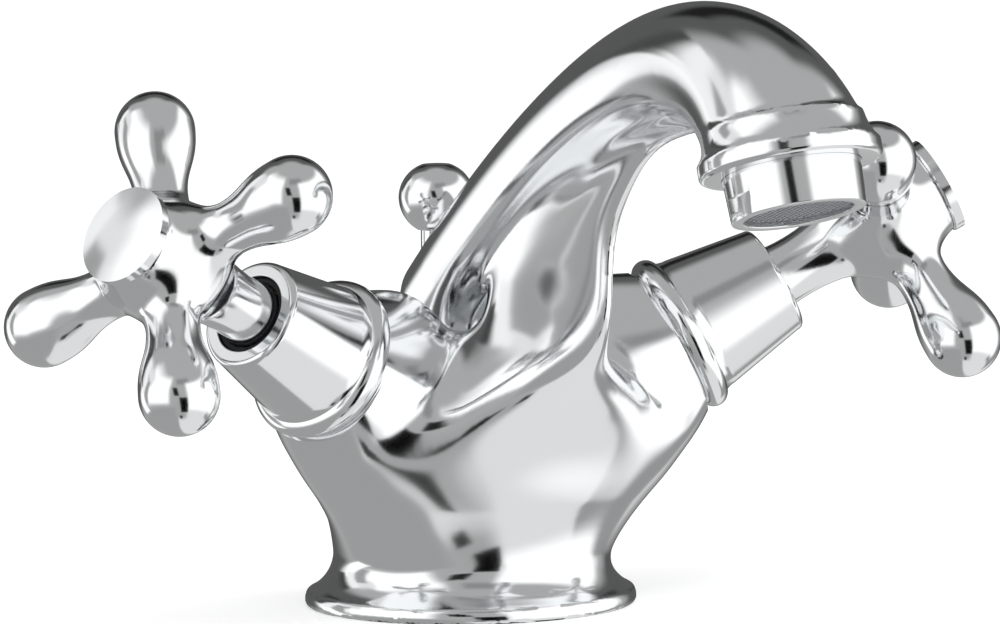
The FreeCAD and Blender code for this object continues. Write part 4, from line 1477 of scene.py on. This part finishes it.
FINISHES = (
    Finish(
        Slot.CHROME, (0.90, 0.91, 0.92), (0.87, 0.88, 0.90), 1.0, 0.015, 0.05,
        smear_scale=45.0, drops=0.15, wave_scale=55.0, grain_share=0.02, relief_depth=0.000006,
    ),
    Finish(
        Slot.BRASS, (0.72, 0.57, 0.32), (0.62, 0.46, 0.24), 1.0, 0.22, 0.36,
        wave_scale=300.0, grain_scale=2500.0, grain_share=0.5, relief_depth=0.00002,
    ),
    Finish(
        Slot.STEEL, (0.62, 0.63, 0.65), (0.55, 0.55, 0.52), 1.0, 0.28, 0.42,
        wave_scale=200.0, grain_scale=1800.0, grain_share=0.6, relief_depth=0.00002,
    ),
    Finish(
        Slot.RUBBER, (0.018, 0.018, 0.02), (0.03, 0.03, 0.031), 0.0, 0.42, 0.58,
        wave_scale=150.0, grain_scale=3000.0, grain_share=0.8, relief_depth=0.00002,
    ),
    Finish(
        Slot.PLASTIC, (0.32, 0.33, 0.35), (0.29, 0.30, 0.32), 0.0, 0.34, 0.46,
        wave_scale=150.0, grain_scale=2600.0, grain_share=0.7, relief_depth=0.00002,
    ),
    Finish(
        Slot.CERAMIC, (0.90, 0.90, 0.88), (0.86, 0.86, 0.84), 0.0, 0.08, 0.16,
        wave_scale=120.0, grain_scale=3000.0, grain_share=0.3, relief_depth=0.000006, coat=0.3,
    ),
)


# Studio


@dataclass(frozen=True)
class Zone:
    """Soft patch of the room that polished metal shows.

    All sizes but the level are degrees: across is measured from the camera to the picture's right, rise
    from the horizon, slant and taper are the middle's shift and the half width's growth for each degree up.
    """

    across: float
    rise: float
    half_width: float
    half_height: float
    level: float
    softness: float = 10.0
    slant: float = 0.0
    taper: float = 0.0

    def inputs(self) -> dict[str, float]:
        """Values of the zone group's inputs, which are named after the fields."""
        return {name: value for name, value in asdict(self).items() if name != "level"}


@dataclass(frozen=True)
class Lamp:
    """Soft square lamp that only matt surfaces show."""

    name: str
    place: tuple[float, float, float]
    size: float
    power: float


@dataclass(frozen=True)
class Studio:
    """White room with soft boxes, a pale deck, two soft lamps and the camera of the photograph."""

    view_azimuth: float = 28.65
    view_elevation: float = 5.96
    view_roll: float = -0.72
    distance: float = 1497.0
    lens: float = 294.7
    sensor: float = 36.0
    aim_across: float = 6.23
    aim_up: float = 53.46
    shift: tuple[float, float] = (-0.0011, -0.0001)
    clip: tuple[float, float] = (0.05, 20.0)
    floor_half: float = 2500.0
    floor_scale: float = 9.0
    floor_tones: tuple[tuple[float, ...], ...] = ((0.92, 0.92, 0.92, 1), (0.90, 0.90, 0.905, 1))
    floor_glow: float = 0.3
    matt_level: float = 0.75
    white_level: float = 1.0
    lamps: tuple[Lamp, ...] = (
        Lamp("key_lamp", (-0.7, -0.9, 1.3), 0.9, 9.0),
        Lamp("fill_lamp", (1.0, -0.5, 0.9), 1.1, 4.0),
    )
    base_level: float = 0.44
    zones: tuple[Zone, ...] = (
        Zone(-95, -66, 94, 40, 0.37, 8),
        Zone(85, -66, 88, 40, 0.82, 8),
        Zone(15, 45, 22, 8, 0.28, 10),
        Zone(-58, 44, 34, 13, 0.85, 14),
        Zone(-63, 16, 36, 32, 1.25, 14),
        Zone(-104, 27, 14, 10, 0.86, 12),
        Zone(-104, 5, 7, 19, 0.37, 4, -0.1),
        Zone(-121, -8, 11, 20, 1.25, 4, -0.5),
        Zone(-119, 17, 6, 17, 1.02, 4),
        Zone(-136, 19, 8, 13, 0.004, 3),
        Zone(122, -29, 24, 14, 0.33, 5, -0.3),
        Zone(76, 3, 50, 36, 1.25, 12, taper=0.1),
        Zone(183, 22, 44, 40, 0.1, 18),
        Zone(180, 33, 24, 8, 0.01, 8),
        Zone(8, -36, 18, 24, 0.42, 20, -0.2, -0.1),
        Zone(10, -56, 6, 5, 0.015, 3, -0.3),
        Zone(-8, 17, 7, 11, 0.002, 3, -0.3),
        Zone(16, -20, 11, 21, 0.002, 3, -0.15),
    )

    def build(self) -> None:
        """Make the world, the floor, the lamps and the camera."""
        self._world()
        self._floor()
        self._lamps()
        self._camera()
        bpy.context.scene.view_settings.view_transform = "Standard"

    def _zone_group(self) -> bpy.types.NodeTree:
        """Node group of a zone.

        Returns:
            Group that tells how much a direction lies in the zone.
        """
        full_turn = 360.0
        inputs = {"azimuth": 0.0, "elevation": 0.0, **Zone(0.0, 0.0, 1.0, 1.0, 1.0).inputs()}
        canvas = new_group("studio_zone", inputs, "Mask")
        given = canvas.add("NodeGroupInput").outputs
        rise = canvas.math("SUBTRACT", given["elevation"], given["rise"])
        middle = canvas.math("ADD", given["across"], canvas.math("MULTIPLY", given["slant"], rise))
        width = canvas.math("ADD", given["half_width"], canvas.math("MULTIPLY", given["taper"], rise))
        turned = canvas.math("ADD", canvas.math("SUBTRACT", given["azimuth"], middle), full_turn * 1.5)
        wrapped = canvas.math("MODULO", turned, full_turn)
        gap = canvas.math("ABSOLUTE", canvas.math("SUBTRACT", wrapped, full_turn / 2))
        edges = []
        for size, offset in ((width, gap), (given["half_height"], canvas.math("ABSOLUTE", rise))):
            inside = canvas.math("DIVIDE", canvas.math("SUBTRACT", size, offset), given["softness"])
            edges.append(canvas.spread(inside, -0.5, 0.5))
        return canvas.close(canvas.math("MULTIPLY", *edges))

    def _room(self, canvas: Canvas) -> bpy.types.NodeSocket:
        """Brightness of the room by direction.

        Args:
            canvas: Canvas of the world's tree.

        Returns:
            Socket of the brightness.
        """
        group = self._zone_group()
        direction = canvas.add("ShaderNodeTexCoord").outputs["Generated"]
        x, y, z = canvas.add("ShaderNodeSeparateXYZ", inputs={0: direction}).outputs
        around = canvas.math("ARCTAN2", canvas.math("MULTIPLY", x, -1.0), canvas.math("MULTIPLY", y, -1.0))
        view = {
            "azimuth": canvas.math("SUBTRACT", self.view_azimuth, canvas.math("DEGREES", around)),
            "elevation": canvas.math("DEGREES", canvas.math("ARCSINE", z)),
        }
        level = self.base_level
        for zone in self.zones:
            node = canvas.add("ShaderNodeGroup", {"node_tree": group}, {**view, **zone.inputs()})
            step = canvas.math("SUBTRACT", zone.level, level)
            level = canvas.math("ADD", level, canvas.math("MULTIPLY", node.outputs["Mask"], step))
        return level

    def _world(self) -> None:
        """White for the camera, plain light for matt surfaces, and the zones for polished metal."""
        world = bpy.data.worlds.new("studio")
        canvas = fresh_canvas(world)
        path = canvas.add("ShaderNodeLightPath").outputs
        lights = []
        for level in (self.matt_level, self._room(canvas), self.white_level):
            colour = {"Color": canvas.combine(level, level, level)}
            lights.append(canvas.add("ShaderNodeBackground", inputs=colour).outputs[0])
        matt, polished, white = lights
        light = canvas.add("ShaderNodeMixShader", inputs={0: path["Is Glossy Ray"], 1: matt, 2: polished})
        seen = {0: path["Is Camera Ray"], 1: light.outputs[0], 2: white}
        surface = canvas.add("ShaderNodeMixShader", inputs=seen).outputs[0]
        canvas.add("ShaderNodeOutputWorld", inputs={"Surface": surface})
        bpy.context.scene.world = world

    def _floor(self) -> None:
        """Pale deck under the tap, a little brighter to the camera and unseen by polished metal."""
        half = self.floor_half
        corners = [(-half, -half, 0), (half, -half, 0), (half, half, 0), (-half, half, 0)]
        deck = make_object("deck", corners, [(0, 1, 2, 3)])
        paint = bpy.data.materials.new("pale_deck")
        canvas = fresh_canvas(paint)
        place = canvas.add("ShaderNodeTexCoord").outputs["Object"]
        tone = canvas.mix(canvas.noise(place, self.floor_scale), *self.floor_tones)
        matt = canvas.add("ShaderNodeBsdfDiffuse", inputs={"Color": tone}).outputs[0]
        camera_ray = canvas.add("ShaderNodeLightPath").outputs["Is Camera Ray"]
        strength = canvas.math("MULTIPLY", camera_ray, self.floor_glow)
        glow = canvas.add("ShaderNodeEmission", inputs={"Strength": strength}).outputs[0]
        both = canvas.add("ShaderNodeAddShader", inputs={0: matt, 1: glow}).outputs[0]
        canvas.add("ShaderNodeOutputMaterial", inputs={"Surface": both})
        deck.data.materials.append(paint)
        deck.visible_glossy = False

    def _lamps(self) -> None:
        """Soft lamps that polished metal doesn't show."""
        for row in self.lamps:
            lamp = bpy.data.lights.new(row.name, "AREA")
            lamp.size = row.size
            lamp.energy = row.power
            holder = new_object(row.name, lamp)
            holder.location = row.place
            holder.rotation_euler = (-Vector(row.place)).to_track_quat("-Z", "Y").to_euler()
            holder.visible_glossy = False

    def _camera(self) -> None:
        """Camera at the photograph's viewing angle."""
        angles = (self.view_azimuth, self.view_elevation, self.view_roll)
        azimuth, elevation, roll = map(math.radians, angles)
        level = math.cos(elevation)
        back = Vector((-math.sin(azimuth) * level, -math.cos(azimuth) * level, math.sin(elevation)))
        right = Vector((math.cos(azimuth), -math.sin(azimuth), 0))
        up = back.cross(right)
        across = right * math.cos(roll) + up * math.sin(roll)
        rise = up * math.cos(roll) - right * math.sin(roll)
        aim = right * self.aim_across + Vector((0, 0, self.aim_up))
        data = bpy.data.cameras.new("photo_camera")
        data.sensor_width = self.sensor
        data.lens = self.lens
        data.shift_x, data.shift_y = self.shift
        data.clip_start, data.clip_end = self.clip
        camera = new_object("photo_camera", data)
        turn = Matrix((across, rise, back)).transposed().to_4x4()
        camera.matrix_world = Matrix.Translation((aim + back * self.distance) * MM) @ turn
        bpy.context.scene.camera = camera


# The whole tap


def dress(piece: Piece) -> None:
    """Give a piece its finish and join it to the frame.

    Args:
        piece: The finished object with its body, nodes and slot.
    """
    shape = piece.shape
    shape.data.materials.clear()
    shape.data.materials.append(bpy.data.materials[piece.slot.value])
    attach(shape, piece.body)
    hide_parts(*piece.nodes)
    LOG.info("%s stands for %s with %d faces", shape.name, ", ".join(piece.nodes), len(shape.data.polygons))


def dress_nodes() -> None:
    """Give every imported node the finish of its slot."""
    for row in frame["record"]["subparts"]:
        node = frame["nodes"][row["node"]]
        finish = bpy.data.materials[row["material_slot"]]
        for holder in node.material_slots:
            holder.link = "OBJECT"
            holder.material = finish


def main() -> None:
    """Build every finish, every piece and the studio."""
    logging.basicConfig(level=logging.INFO)
    effects = Effects()
    for finish in FINISHES:
        finish.material(effects)
    dress_nodes()
    Studio().build()
    pieces = [Casting().build()]
    pieces += [CrossHandle(side).build() for side in Side]
    pieces += Trim().build()
    pieces += Aerator().build()
    for piece in pieces:
        dress(piece)


if __name__ == "__main__":
    main()
